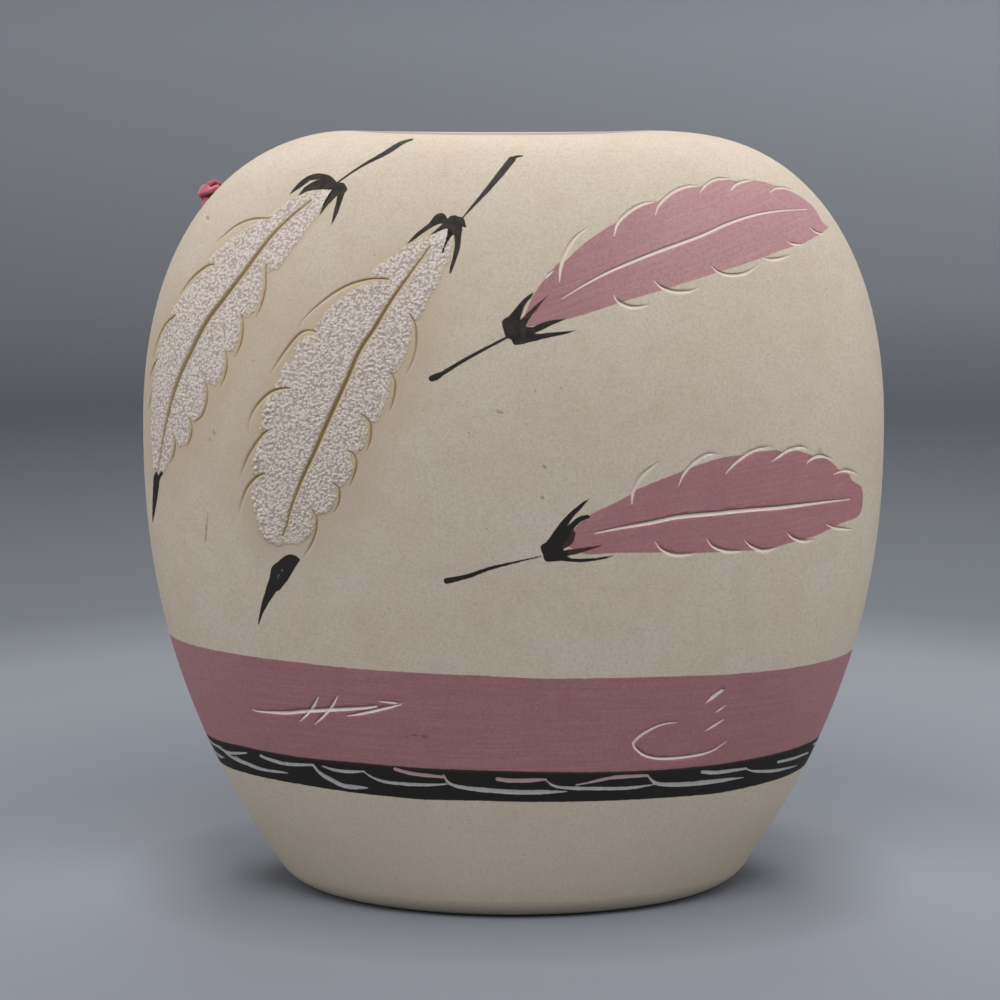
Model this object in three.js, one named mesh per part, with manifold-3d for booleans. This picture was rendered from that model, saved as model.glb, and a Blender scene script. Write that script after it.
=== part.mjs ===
// Pillow vase: a slip-cast earthenware vase with an oval body, flat front and back swells,
// a low oval mouth without a neck, and a dyed suede lace tied through two holes in its shoulder.
//
// Frame: millimetres, +Z up, the vase stands on z = 0 with its upright axis on x = y = 0.
// +X is the width, -Y is the front.
//
// Every level section of the body is an ellipse. Two curves give its half-width and its
// half-depth at each height: a flare from the foot up to the belly, and a shoulder that
// rolls over to the mouth as a quarter of a superellipse. The inside is the same skin moved
// in by the wall along its own normals, so the wall is even all round, as slip casting gives.

import * as THREE from 'three';
import { mergeVertices } from 'three/addons/utils/BufferGeometryUtils.js';
import Module from 'manifold-3d';

const wasm = await Module();
wasm.setup();

// Body, outside
const HEIGHT = 235;
const BELLY_HEIGHT = 140;
const BELLY_HALF_WIDTH = 115;
const BELLY_HALF_DEPTH = 56;
const FOOT_HALF_WIDTH = 70;
const FOOT_HALF_DEPTH = 48.5;
const FLARE_POWER_WIDTH = 2.25;
const FLARE_POWER_DEPTH = 1.4;
const SHOULDER_POWER = 2.3;

// Mouth, measured at the crest of the lip
const MOUTH_HALF_WIDTH = 45;
const MOUTH_HALF_DEPTH = 21;
const MOUTH_OFFSET = -5;
const LIP_DIP = 1.2;
const LIP_BLEND_POWER = 5;

// Wall, floor and foot
const WALL = 5.5;
const FLOOR_THICKNESS = 7;
const FLOOR_FILLET = 8;
const FOOT_CORNER = 6;
const FOOT_RING_WIDTH = 7;
const FOOT_RECESS = 1.5;
const RECESS_DRAFT = 1.5;

// Suede lace and the two holes that it passes
const LACE_WIDTH = 3.2;
const LACE_THICKNESS = 1.6;
const LACE_BELOW_LIP = 23;
const LACE_ANGLE = 14;
const HOLE_DIAMETER = 5;
const HOLE_SPACING = 10.4;
const KNOT_HALF_SIZES = [3, 4.4, 4.2];
const KNOT_CLEARANCE = 0.4;

// Fineness of the mesh
const COLUMNS = 64;
const FLARE_ROWS = 10;
const SHOULDER_ROWS = 13;
const ARC_ROWS = 4;
const HOLE_SIDES = 24;
const LACE_STEPS_PER_MM = 0.14;

const QUARTER = Math.PI / 2;
const UP = new THREE.Vector3(0, 0, 1);

const clay = new THREE.MeshStandardMaterial({ color: 0xd9cbb4, roughness: 0.72, metalness: 0 });
const suede = new THREE.MeshStandardMaterial({ color: 0xa83a50, roughness: 0.95, metalness: 0 });

// The body's law. "climb" runs from 0 at the foot to 1 at the belly and 2 at the mouth.

function climbAt(z) {
  if (z <= BELLY_HEIGHT) return z / BELLY_HEIGHT;
  const rise = (z - BELLY_HEIGHT) / (HEIGHT - BELLY_HEIGHT);
  return 1 + Math.asin(rise ** (SHOULDER_POWER / 2)) / QUARTER;
}

function section(climb) {
  if (climb <= 1) {
    const below = 1 - climb;
    return {
      halfWidth: BELLY_HALF_WIDTH
        - (BELLY_HALF_WIDTH - FOOT_HALF_WIDTH) * below ** FLARE_POWER_WIDTH,
      halfDepth: BELLY_HALF_DEPTH
        - (BELLY_HALF_DEPTH - FOOT_HALF_DEPTH) * below ** FLARE_POWER_DEPTH,
      z: BELLY_HEIGHT * climb,
      nearMouth: 0,
    };
  }
  const turn = Math.min((climb - 1) * QUARTER, QUARTER);
  const rise = Math.sin(turn) ** (2 / SHOULDER_POWER);
  const reach = Math.max(Math.cos(turn), 0) ** (2 / SHOULDER_POWER);
  return {
    halfWidth: MOUTH_HALF_WIDTH + (BELLY_HALF_WIDTH - MOUTH_HALF_WIDTH) * reach,
    halfDepth: MOUTH_HALF_DEPTH + (BELLY_HALF_DEPTH - MOUTH_HALF_DEPTH) * reach,
    z: BELLY_HEIGHT + (HEIGHT - BELLY_HEIGHT) * rise,
    nearMouth: (1 - reach) ** LIP_BLEND_POWER,
  };
}

// Outward normal of the skin, from the section's own ellipse and the slope of its two curves
function skinNormal(angle, climb) {
  const step = 1e-4;
  const low = section(Math.max(climb - step, 0));
  const high = section(Math.min(climb + step, 2));
  const here = section(climb);
  const rise = high.z - low.z;
  const widening = high.halfWidth - low.halfWidth;
  const deepening = high.halfDepth - low.halfDepth;
  const c = Math.cos(angle);
  const s = Math.sin(angle);
  return new THREE.Vector3(
    here.halfDepth * rise * c,
    here.halfWidth * rise * s,
    -(widening * here.halfDepth * c * c + deepening * here.halfWidth * s * s),
  ).normalize();
}

// A point on the skin, or "lift" outside it; the lip dips at the front and back and its
// opening lies a little to the left, as the cut mouth of a cast vase does
function skin(angle, climb, lift = 0) {
  const here = section(climb);
  const dip = LIP_DIP * here.nearMouth * Math.sin(angle) ** 2;
  return new THREE.Vector3(
    here.halfWidth * Math.cos(angle) + MOUTH_OFFSET * here.nearMouth,
    here.halfDepth * Math.sin(angle),
    here.z - dip,
  ).addScaledVector(skinNormal(angle, climb), lift);
}

// One closed ring of points, made by a function of the angle
function ring(pointAt) {
  return Array.from({ length: COLUMNS }, (_, i) => pointAt((i / COLUMNS) * 2 * Math.PI));
}

function ellipse(halfWidth, halfDepth, z) {
  return ring((t) => new THREE.Vector3(halfWidth * Math.cos(t), halfDepth * Math.sin(t), z));
}

// A closed body through rings that run from the middle of its underside to the middle of
// its inside floor
function closedLoft(rings, firstCentre, lastCentre) {
  const points = [firstCentre, ...rings.flat(), lastCentre];
  const faces = [];
  const at = (row, column) => 1 + row * COLUMNS + (column % COLUMNS);
  for (let i = 0; i < COLUMNS; i += 1) {
    faces.push(0, at(0, i + 1), at(0, i));
    for (let row = 0; row < rings.length - 1; row += 1) {
      faces.push(at(row, i), at(row, i + 1), at(row + 1, i + 1));
      faces.push(at(row, i), at(row + 1, i + 1), at(row + 1, i));
    }
    faces.push(at(rings.length - 1, i), at(rings.length - 1, i + 1), points.length - 1);
  }
  const geometry = new THREE.BufferGeometry();
  const flat = points.flatMap((p) => [p.x, p.y, p.z]);
  geometry.setAttribute('position', new THREE.Float32BufferAttribute(flat, 3));
  geometry.setIndex(faces);
  return geometry;
}

function steps(count, from, to) {
  return Array.from({ length: count + 1 }, (_, i) => from + ((to - from) * i) / count);
}

// Underside: a flat foot ring round a shallow recess, and the corner above it, which leaves
// the floor level and runs into the flare without a crease
function footRings() {
  const inset = (amount, z) => {
    const flare = section(climbAt(z));
    return ellipse(flare.halfWidth - amount, flare.halfDepth - amount, z);
  };
  const innerEdge = FOOT_CORNER + FOOT_RING_WIDTH;
  const corner = steps(ARC_ROWS, 0, QUARTER).slice(0, -1).map((turn) => inset(
    FOOT_CORNER * (1 - Math.sin(turn)),
    FOOT_CORNER * (1 - Math.cos(turn)),
  ));
  return [inset(innerEdge + RECESS_DRAFT, FOOT_RECESS), inset(innerEdge, 0), ...corner];
}

function wallRings(lowestClimb, lift) {
  const climbs = [...steps(FLARE_ROWS, lowestClimb, 1), ...steps(SHOULDER_ROWS, 1, 2).slice(1)];
  return climbs.map((climb) => ring((angle) => skin(angle, climb, lift)));
}

// The lip is a half round between the outer and the inner skin
function lipRings() {
  return steps(2 * ARC_ROWS, 0, Math.PI).slice(1, -1).map((turn) => ring((angle) => {
    const mouth = section(2);
    const inward = new THREE.Vector3(
      -Math.cos(angle) / mouth.halfWidth,
      -Math.sin(angle) / mouth.halfDepth,
      0,
    ).normalize();
    return skin(angle, 2, -WALL / 2)
      .addScaledVector(UP, (WALL / 2) * Math.cos(turn))
      .addScaledVector(inward, (WALL / 2) * Math.sin(turn));
  }));
}

// A fillet carries the inner wall down to the flat inside floor
function floorRings(lowestInner) {
  return steps(ARC_ROWS, 0, QUARTER).slice(1).map((turn) => lowestInner.map((p) => {
    const inward = new THREE.Vector3(-p.x, -p.y, 0).normalize();
    const q = p.clone().addScaledVector(inward, FLOOR_FILLET * (1 - Math.cos(turn)));
    q.z = FLOOR_THICKNESS + (p.z - FLOOR_THICKNESS) * (1 - Math.sin(turn));
    return q;
  }));
}

function vaseShell() {
  const outer = wallRings(climbAt(FOOT_CORNER), 0);
  const inner = wallRings(climbAt(FLOOR_THICKNESS + FLOOR_FILLET - WALL / 2), -WALL).reverse();
  return closedLoft(
    [...footRings(), ...outer, ...lipRings(), ...inner, ...floorRings(inner.at(-1))],
    new THREE.Vector3(0, 0, FOOT_RECESS),
    new THREE.Vector3(0, 0, FLOOR_THICKNESS),
  );
}

// Cutting

function toSolid(geometry) {
  const bare = geometry.clone();
  bare.deleteAttribute('normal');
  bare.deleteAttribute('uv');
  const merged = mergeVertices(bare, 1e-4);
  return new wasm.Manifold(new wasm.Mesh({
    numProp: 3,
    vertProperties: new Float32Array(merged.getAttribute('position').array),
    triVerts: new Uint32Array(merged.index.array),
  }));
}

function toGeometry(solid) {
  const mesh = solid.getMesh();
  const geometry = new THREE.BufferGeometry();
  geometry.setAttribute('position', new THREE.BufferAttribute(mesh.vertProperties, 3));
  geometry.setIndex(new THREE.BufferAttribute(mesh.triVerts, 1));
  return geometry;
}

// The lace's place on the shoulder: at the left end of the oval, turned towards the back.
// "across" is a distance along the girth from the knot, in millimetres.

const laceClimb = climbAt(HEIGHT - LACE_BELOW_LIP);
const laceTurn = Math.PI - THREE.MathUtils.degToRad(LACE_ANGLE);
const laceSection = section(laceClimb);
const girthPerRadian = Math.hypot(
  laceSection.halfWidth * Math.sin(laceTurn),
  laceSection.halfDepth * Math.cos(laceTurn),
);

function atLace(across, lift) {
  return skin(laceTurn - across / girthPerRadian, laceClimb, lift);
}

function laceHole(across) {
  const angle = laceTurn - across / girthPerRadian;
  const length = 4 * WALL;
  const drill = new THREE.CylinderGeometry(
    HOLE_DIAMETER / 2,
    HOLE_DIAMETER / 2,
    length,
    HOLE_SIDES,
  );
  drill.applyQuaternion(new THREE.Quaternion().setFromUnitVectors(
    new THREE.Vector3(0, 1, 0),
    skinNormal(angle, laceClimb),
  ));
  const middle = atLace(across, -WALL / 2);
  drill.translate(middle.x, middle.y, middle.z);
  return toSolid(drill);
}

// A lace path keeps the flat side of the strap turned to the pot: the thickness lies along
// the direction away from the pot and the width lies along the wall
class LacePath extends THREE.CatmullRomCurve3 {
  constructor(points, away) {
    super(points, false, 'centripetal');
    this.away = away;
  }

  computeFrenetFrames(segments) {
    const tangents = steps(segments, 0, 1).map((u) => this.getTangentAt(u));
    const binormals = tangents.map((tangent, i) => {
      const away = this.away(this.getPointAt(i / segments), tangent);
      return new THREE.Vector3().crossVectors(tangent, away).normalize();
    });
    const normals = tangents.map(
      (tangent, i) => new THREE.Vector3().crossVectors(binormals[i], tangent),
    );
    return { tangents, normals, binormals };
  }
}

// Strap section: a flat bar with its four long edges broken, eight sides in all
function strapSection() {
  const x = LACE_THICKNESS / 2;
  const y = LACE_WIDTH / 2;
  const edge = LACE_THICKNESS / 4;
  return new THREE.Shape([
    [x, y - edge], [x - edge, y], [edge - x, y], [-x, y - edge],
    [-x, edge - y], [edge - x, -y], [x - edge, -y], [x, edge - y],
  ].map(([u, v]) => new THREE.Vector2(u, v)));
}

function strap(points, away) {
  const path = new LacePath(points, away);
  return new THREE.ExtrudeGeometry(strapSection(), {
    steps: Math.ceil(path.getLength() * LACE_STEPS_PER_MM),
    bevelEnabled: false,
    extrudePath: path,
  });
}

// The stitch goes in at one hole, along the inside of the wall and out at the other one.
// Each entry is [across, lift] in millimetres.
const inHole = HOLE_SPACING / 2;
const insideLift = -WALL - LACE_THICKNESS;
const stitchRoute = [
  [-inHole + 0.9, 1.7],
  [-inHole + 0.1, 0.6],
  [-inHole, -WALL / 2],
  [-inHole, insideLift + 1.4],
  [-inHole + 2, insideLift - 0.7],
  [0, insideLift - 1.2],
  [inHole - 2, insideLift - 0.7],
  [inHole, insideLift + 1.4],
  [inHole, -WALL / 2],
  [inHole - 0.1, 0.6],
  [inHole - 0.9, 1.7],
];

// Each tail hangs from the knot and lies on the back of the shoulder. Each entry is
// [drop below the holes, degrees from the left end of the oval towards the back, lift].
const longTailRoute = [
  [4.1, 12.6, 2.6],
  [7.4, 12.2, 1.7],
  [12, 12.3, 1.3],
  [19, 13, 1.25],
  [27, 13.9, 1.25],
  [35, 14.4, 1.25],
  [43, 14.2, 1.25],
  [51, 13.6, 1.25],
  [59, 13.5, 1.25],
  [67, 14.2, 1.25],
  [73, 15, 1.3],
];
const shortTailRoute = [
  [4, 17.2, 2.6],
  [7.1, 18.6, 1.7],
  [11.5, 20, 1.3],
  [18, 21.4, 1.25],
  [25, 22.3, 1.25],
  [32, 22.6, 1.25],
  [39, 22.2, 1.25],
  [46, 21.4, 1.25],
  [53, 20.9, 1.25],
  [59, 21.1, 1.3],
];

function tailPoints(route) {
  return route.map(([drop, degrees, lift]) => {
    const angle = Math.PI - THREE.MathUtils.degToRad(degrees);
    return skin(angle, climbAt(HEIGHT - LACE_BELOW_LIP - drop), lift);
  });
}

// Away from the pot at a point near its skin: the normal of the ellipse at that level
function awayFromPot(point) {
  const climb = climbAt(Math.min(point.z, HEIGHT));
  const here = section(climb);
  const angle = Math.atan2(point.y / here.halfDepth, point.x / here.halfWidth);
  return skinNormal(angle, climb);
}

// In the stitch the width stands upright against the girth, so "away" turns with the path
function awayInStitch(point, tangent) {
  const downSkin = atLace(0, 0).sub(skin(laceTurn, laceClimb - 1e-3)).normalize();
  return new THREE.Vector3().crossVectors(downSkin, tangent);
}

function knotGeometry() {
  const ball = new THREE.SphereGeometry(1, 20, 12);
  ball.scale(...KNOT_HALF_SIZES);
  const away = skinNormal(laceTurn, laceClimb);
  const along = atLace(1, 0).sub(atLace(-1, 0)).normalize();
  const upward = new THREE.Vector3().crossVectors(away, along).normalize();
  const middle = atLace(0, KNOT_CLEARANCE + KNOT_HALF_SIZES[0]);
  const frame = new THREE.Matrix4().makeBasis(away, along, upward);
  frame.setPosition(middle);
  ball.applyMatrix4(frame);
  return ball;
}

function piece(name, geometry, material) {
  const mesh = new THREE.Mesh(geometry, material);
  mesh.name = name;
  return mesh;
}

const shell = toSolid(vaseShell())
  .subtract(laceHole(-inHole))
  .subtract(laceHole(inHole));

const vase = new THREE.Group();
vase.add(
  piece('vase_body', toGeometry(shell), clay),
  piece('lace_stitch', strap(stitchRoute.map(([a, l]) => atLace(a, l)), awayInStitch), suede),
  piece('lace_knot', knotGeometry(), suede),
  piece('lace_tail_long', strap(tailPoints(longTailRoute), awayFromPot), suede),
  piece('lace_tail_short', strap(tailPoints(shortTailRoute), awayFromPot), suede),
);

export default vase;
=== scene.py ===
# %% [markdown]
# # An oval pillow vase with carved and painted feathers
# The vase is cast from liquid clay in a plaster mould, so it has an even wall and no
# throwing rings. While it is damp, the maker cuts lines with a small loop tool, brushes on
# mauve and black slip, and stipples thick white slip into two raised feathers. After
# firing, a suede lace is tied through two holes in the shoulder.

# %% [markdown]
# ## The frame
# The CAD model is loaded first and stays where it is. All new pieces are made around it,
# in the same coordinates: metres, +Z up, the front towards -Y.

# %% Load the frame
import math

import bmesh
import bpy
import numpy as np
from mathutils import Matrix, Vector, noise
from mathutils.kdtree import KDTree


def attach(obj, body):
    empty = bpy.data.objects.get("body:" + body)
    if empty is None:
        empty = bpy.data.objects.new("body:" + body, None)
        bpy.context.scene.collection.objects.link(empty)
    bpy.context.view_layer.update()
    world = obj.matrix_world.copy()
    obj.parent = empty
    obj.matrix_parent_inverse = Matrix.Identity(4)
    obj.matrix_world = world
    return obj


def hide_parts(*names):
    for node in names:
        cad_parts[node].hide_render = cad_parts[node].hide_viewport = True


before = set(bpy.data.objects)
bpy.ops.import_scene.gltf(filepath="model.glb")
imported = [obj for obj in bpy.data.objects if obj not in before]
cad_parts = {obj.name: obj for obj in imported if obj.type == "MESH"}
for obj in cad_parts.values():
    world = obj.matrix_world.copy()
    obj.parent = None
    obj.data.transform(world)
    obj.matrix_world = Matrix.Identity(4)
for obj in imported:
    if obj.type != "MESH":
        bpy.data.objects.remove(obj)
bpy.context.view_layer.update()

print("CAD nodes:", sorted(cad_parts))

# %% [markdown]
# ## The pot's own law
# Each level section is an oval. A flare gives its half-width and half-depth from the foot
# to the belly, and a quarter of a superellipse rolls the shoulder over to the mouth. With
# the law at hand, anything drawn on the pot can be put exactly on its skin. "climb" is 0 at
# the foot, 1 at the belly and 2 at the mouth. Sizes are in millimetres, as a potter gives
# them, and become metres when a mesh is written.

# %% Law of the body
MM = 0.001
HEIGHT = 235.0
BELLY_HEIGHT = 140.0
BELLY_HALF = (115.0, 56.0)
FOOT_HALF = (70.0, 48.5)
FLARE_POWER = (2.25, 1.4)
SHOULDER_POWER = 2.3
MOUTH_HALF = (45.0, 21.0)
MOUTH_OFFSET = -5.0
LIP_DIP = 1.2
WALL = 5.5


def unit(vectors):
    return vectors / np.linalg.norm(vectors, axis=-1, keepdims=True)


def climb_at(z):
    z = np.asarray(z, float)
    rise = np.clip((z - BELLY_HEIGHT) / (HEIGHT - BELLY_HEIGHT), 0, 1)
    over = 1 + np.arcsin(rise ** (SHOULDER_POWER / 2)) * 2 / math.pi
    return np.where(z <= BELLY_HEIGHT, z / BELLY_HEIGHT, over)


def section(climb):
    climb = np.asarray(climb, float)
    below = np.clip(1 - climb, 0, None)
    turn = np.clip(climb - 1, 0, 1) * math.pi / 2
    rise = np.sin(turn) ** (2 / SHOULDER_POWER)
    reach = np.clip(np.cos(turn), 0, None) ** (2 / SHOULDER_POWER)
    low = climb <= 1
    half = [
        np.where(low, belly - (belly - foot) * below ** power, mouth + (belly - mouth) * reach)
        for belly, foot, power, mouth in zip(BELLY_HALF, FOOT_HALF, FLARE_POWER, MOUTH_HALF)
    ]
    z = np.where(low, BELLY_HEIGHT * climb, BELLY_HEIGHT + (HEIGHT - BELLY_HEIGHT) * rise)
    return half[0], half[1], z, np.where(low, 0, (1 - reach) ** 5)


def skin_normal(angle, climb):
    lower, upper = section(np.clip(climb - 1e-4, 0, 2)), section(np.clip(climb + 1e-4, 0, 2))
    wide, deep, _, _ = section(climb)
    rise = upper[2] - lower[2]
    c, s = np.cos(angle), np.sin(angle)
    slope = (upper[0] - lower[0]) * deep * c * c + (upper[1] - lower[1]) * wide * s * s
    return unit(np.stack([deep * rise * c, wide * rise * s, -slope], axis=-1))


def skin(angle, climb, lift=0.0):
    angle, climb = np.asarray(angle, float), np.asarray(climb, float)
    wide, deep, z, near_mouth = section(climb)
    point = np.stack([
        wide * np.cos(angle) + MOUTH_OFFSET * near_mouth,
        deep * np.sin(angle),
        z - LIP_DIP * near_mouth * np.sin(angle) ** 2,
    ], axis=-1)
    return point + np.asarray(lift, float)[..., None] * skin_normal(angle, climb)


def unskin(points):
    climb = climb_at(points[..., 2])
    wide, deep, _, near_mouth = section(climb)
    x = (points[..., 0] - MOUTH_OFFSET * near_mouth) / wide
    return np.arctan2(points[..., 1] / deep, x), climb


print("belly point", skin(-math.pi / 2, 1.0))

# %% [markdown]
# ## The camera
# The photograph is taken from close to the front, a little above the lip, with a long lens.
# The place was found by laying the law's outline over the photographed outline. From the
# same numbers, a pixel of the photograph can be followed along its ray to the pot's skin,
# and everything painted or carved is placed in that way.

# %% Camera
CAMERA_PLACE = (-4.2, -832.0, 249.0)
CAMERA_PITCH = math.radians(8.77)
FOCAL_PIXELS = 2695.0
IMAGE_PIXELS = 1000
SENSOR = 36.0
NEAREST, FURTHEST = 740.0, 900.0
RAY_STEP = 0.5

bpy.ops.object.select_all(action="DESELECT")
bpy.ops.object.camera_add(
    location=[v * MM for v in CAMERA_PLACE], rotation=(math.pi / 2 - CAMERA_PITCH, 0, 0)
)
camera = bpy.context.object
camera.name = "camera"
camera.data.sensor_width = SENSOR
camera.data.lens = FOCAL_PIXELS * SENSOR / IMAGE_PIXELS
camera.data.dof.use_dof = False
camera.data.clip_end = 20
bpy.context.scene.camera = camera


def on_pot(pixels):
    """The points of the pot's skin that these pixels of the photograph show."""
    pixels = np.asarray(pixels, float)
    right, up = pixels[:, 0] - IMAGE_PIXELS / 2, IMAGE_PIXELS / 2 - pixels[:, 1]
    c, s = math.cos(CAMERA_PITCH), math.sin(CAMERA_PITCH)
    ray = unit(np.stack([right, FOCAL_PIXELS * c + up * s, up * c - FOCAL_PIXELS * s], axis=1))

    def inside(along):
        point = np.array(CAMERA_PLACE) + ray * along[:, None]
        wide, deep, _, near_mouth = section(climb_at(np.clip(point[:, 2], 0, HEIGHT)))
        oval = ((point[:, 0] - MOUTH_OFFSET * near_mouth) / wide) ** 2 + (point[:, 1] / deep) ** 2
        return (oval < 1) & (point[:, 2] < HEIGHT)

    near, far = np.full(len(ray), NEAREST), np.full(len(ray), NEAREST)
    found = np.zeros(len(ray), bool)
    for along in np.arange(NEAREST, FURTHEST, RAY_STEP):
        new = ~found & inside(np.full(len(ray), along))
        far[new], near[new] = along, along - RAY_STEP
        found |= new
    for _ in range(30):
        middle = (near + far) / 2
        hit = inside(middle)
        far, near = np.where(hit, middle, far), np.where(hit, near, middle)
    if not found.all():
        raise ValueError(f"these pixels miss the pot: {pixels[~found][:5].tolist()}")
    return np.array(CAMERA_PLACE) + ray * far[:, None]


print("lens", round(camera.data.lens, 1), "mm; centre pixel lies at", on_pot([(500, 500)])[0])

# %% [markdown]
# ## The suede lace
# One flat suede lace, 3.2 mm wide and 1.6 mm thick, is tied through two holes at the back of
# the left shoulder. Its two tails are limp and hang down the pot. A swept strap keeps the
# flat side on the clay, which a round bevelled curve can't do, so each strap is a tube of
# flat rings along the same route as its CAD solid. The knot is one closed turn of the same
# strap along the line of an overhand knot, pulled tight.

# %% Strap maker
LACE_WIDTH = 3.2
LACE_THICKNESS = 1.6
LACE_BELOW_LIP = 23.0
LACE_FROM_END = 14
LACE_CLIMB = climb_at(HEIGHT - LACE_BELOW_LIP)
LACE_TURN = math.pi - math.radians(LACE_FROM_END)
HOLE_SPACING = 10.4
HOLE_DIAMETER = 5.0
STRAP_SIDES = 16

lace_wide, lace_deep, _, _ = section(LACE_CLIMB)
GIRTH_PER_RADIAN = math.hypot(
    lace_wide * math.sin(LACE_TURN), lace_deep * math.cos(LACE_TURN)
)


def smooth_line(points, step):
    """A smooth curve through the points, with a point about every step."""
    points = np.asarray(points, float)
    chain = np.vstack([2 * points[0] - points[1], points, 2 * points[-1] - points[-2]])
    line = []
    for a, b, c, d in zip(chain, chain[1:], chain[2:], chain[3:]):
        count = max(2, round(np.linalg.norm((c - b)[:3]) / step))
        for t in np.arange(count) / count:
            line.append(0.5 * (2 * b + (c - a) * t + (2 * a - 5 * b + 4 * c - d) * t * t
                               + (3 * b - a - 3 * c + d) * t ** 3))
    line.append(points[-1])
    return np.array(line)


def run_length(line):
    return np.concatenate([[0], np.cumsum(np.linalg.norm(np.diff(line, axis=0), axis=1))])


def make_object(name, vertices, faces):
    mesh = bpy.data.meshes.new(name)
    mesh.from_pydata((np.asarray(vertices) * MM).tolist(), [], faces)
    mesh.validate()
    piece = bpy.data.objects.new(name, mesh)
    bpy.context.collection.objects.link(piece)
    return piece


def sweep_strap(name, line, away, width, thickness, closed=False):
    """A flat strap along a line; away is the direction that its upper flat side faces."""
    if closed:
        along = np.roll(line, -1, axis=0) - np.roll(line, 1, axis=0)
    else:
        along = np.gradient(line, axis=0)
    along = unit(along)
    side = unit(np.cross(along, away))
    up = np.cross(side, along)
    turns = np.arange(STRAP_SIDES) / STRAP_SIDES * 2 * math.pi
    across = np.sign(np.cos(turns)) * np.abs(np.cos(turns)) ** 0.45
    raised = np.sign(np.sin(turns)) * np.abs(np.sin(turns)) ** 0.6
    nap = np.array([
        [noise.noise(Vector(p * 0.9 + k * 0.7)) for k in range(STRAP_SIDES)] for p in line
    ])
    grow = 1 + 0.07 * nap[..., None]
    rings = line[:, None, :] + grow * (
        across[None, :, None] * side[:, None, :] * (width / 2)[:, None, None]
        + raised[None, :, None] * up[:, None, :] * thickness / 2
    )
    total = len(line) * STRAP_SIDES
    faces = []
    for start in range(0, total if closed else total - STRAP_SIDES, STRAP_SIDES):
        for k in range(STRAP_SIDES):
            a, b = start + k, start + (k + 1) % STRAP_SIDES
            faces.append((a, (a + STRAP_SIDES) % total, (b + STRAP_SIDES) % total, b))
    if not closed:
        faces.append(tuple(range(STRAP_SIDES)))
        faces.append(tuple(reversed(range(total - STRAP_SIDES, total))))
    piece = make_object(name, rings.reshape(-1, 3), faces)
    tidy_normals(piece)
    return piece


def edit(piece, select_mode="VERT"):
    """Makes the piece the only active one and opens it in edit mode."""
    if bpy.context.object and bpy.context.object.mode != "OBJECT":
        bpy.ops.object.mode_set(mode="OBJECT")
    bpy.ops.object.select_all(action="DESELECT")
    piece.select_set(True)
    bpy.context.view_layer.objects.active = piece
    bpy.ops.object.mode_set(mode="EDIT")
    bpy.ops.mesh.select_mode(type=select_mode)


def tidy_normals(piece):
    edit(piece)
    bpy.ops.mesh.select_all(action="SELECT")
    bpy.ops.mesh.normals_make_consistent(inside=False)
    bpy.ops.object.mode_set(mode="OBJECT")
    bpy.ops.object.shade_smooth_by_angle(angle=math.radians(50))


# %% Tails
LONG_TAIL = [
    (4.1, 12.6, 1.7), (7.4, 12.2, 1.4), (12, 12.3, 1.3), (19, 13, 1.25), (27, 13.9, 1.25),
    (35, 14.4, 1.25), (43, 14.2, 1.25), (51, 13.6, 1.25), (59, 13.5, 1.25), (67, 14.2, 1.25),
    (73, 15, 1.3),
]
SHORT_TAIL = [
    (4, 17.2, 1.9), (7.1, 18.6, 1.5), (11.5, 20, 1.3), (18, 21.4, 1.25), (25, 22.3, 1.25),
    (32, 22.6, 1.25), (39, 22.2, 1.25), (46, 21.4, 1.25), (53, 20.9, 1.25), (59, 21.1, 1.3),
]


def hang_tail(name, route):
    """A tail from [drop below the holes, degrees from the left end, lift]."""
    drop, degrees, lift = np.array(route, float).T
    knots = skin(math.pi - np.radians(degrees), climb_at(HEIGHT - LACE_BELOW_LIP - drop), lift)
    line = smooth_line(knots, 0.8)
    angle, climb = unskin(line)
    away = skin_normal(angle, climb)
    along = run_length(line) / run_length(line)[-1]
    rock = 0.16 * np.sin(along * 9 + len(route))
    side = unit(np.cross(np.gradient(line, axis=0), away))
    away = unit(away + rock[:, None] * side)
    width = LACE_WIDTH * (1 + 0.05 * np.sin(along * 23) - 0.04 * along)
    return sweep_strap(name, line, away, width, LACE_THICKNESS * 0.92), line


long_tail, long_line = hang_tail("lace_long_end", LONG_TAIL)
short_tail, short_line = hang_tail("lace_short_end", SHORT_TAIL)
print("tails", round(run_length(long_line)[-1]), "and", round(run_length(short_line)[-1]), "mm")

# %% Knot and the stitch through the holes
def at_lace(across, lift):
    return skin(LACE_TURN - np.asarray(across) / GIRTH_PER_RADIAN, LACE_CLIMB, lift)


KNOT_POINTS = 120
KNOT_RADIUS = 3.5
KNOT_CROSSING = 1.25
KNOT_STRAP = (3.9, 1.5)

knot_away = skin_normal(LACE_TURN, LACE_CLIMB)
knot_along = unit(at_lace(1.0, 0.0) - at_lace(-1.0, 0.0))
knot_up = np.cross(knot_along, knot_away)
knot_axes = np.array([knot_along, knot_up, knot_away])
knot_middle = at_lace(-1.2, 3.7) + 2.2 * knot_up

turns = np.arange(KNOT_POINTS) / KNOT_POINTS * 2 * math.pi
loop = np.stack([
    (np.sin(turns) + 2 * np.sin(2 * turns)) / 3 * KNOT_RADIUS,
    (np.cos(turns) - 2 * np.cos(2 * turns)) / 3 * KNOT_RADIUS,
    -np.sin(3 * turns) * KNOT_CROSSING,
], axis=1)
spread = np.hypot(loop[:, 0], loop[:, 1]) / KNOT_RADIUS
loop[:, 2] -= 2.0 * spread ** 2 - 0.8
outward = np.stack([0.25 * loop[:, 0], 0.25 * loop[:, 1], np.ones(KNOT_POINTS)], axis=1)
knot_line = knot_middle + loop @ knot_axes
knot = sweep_strap(
    "lace_overhand_knot", knot_line, unit(outward @ knot_axes),
    np.full(KNOT_POINTS, KNOT_STRAP[0]), KNOT_STRAP[1], closed=True
)

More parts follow.
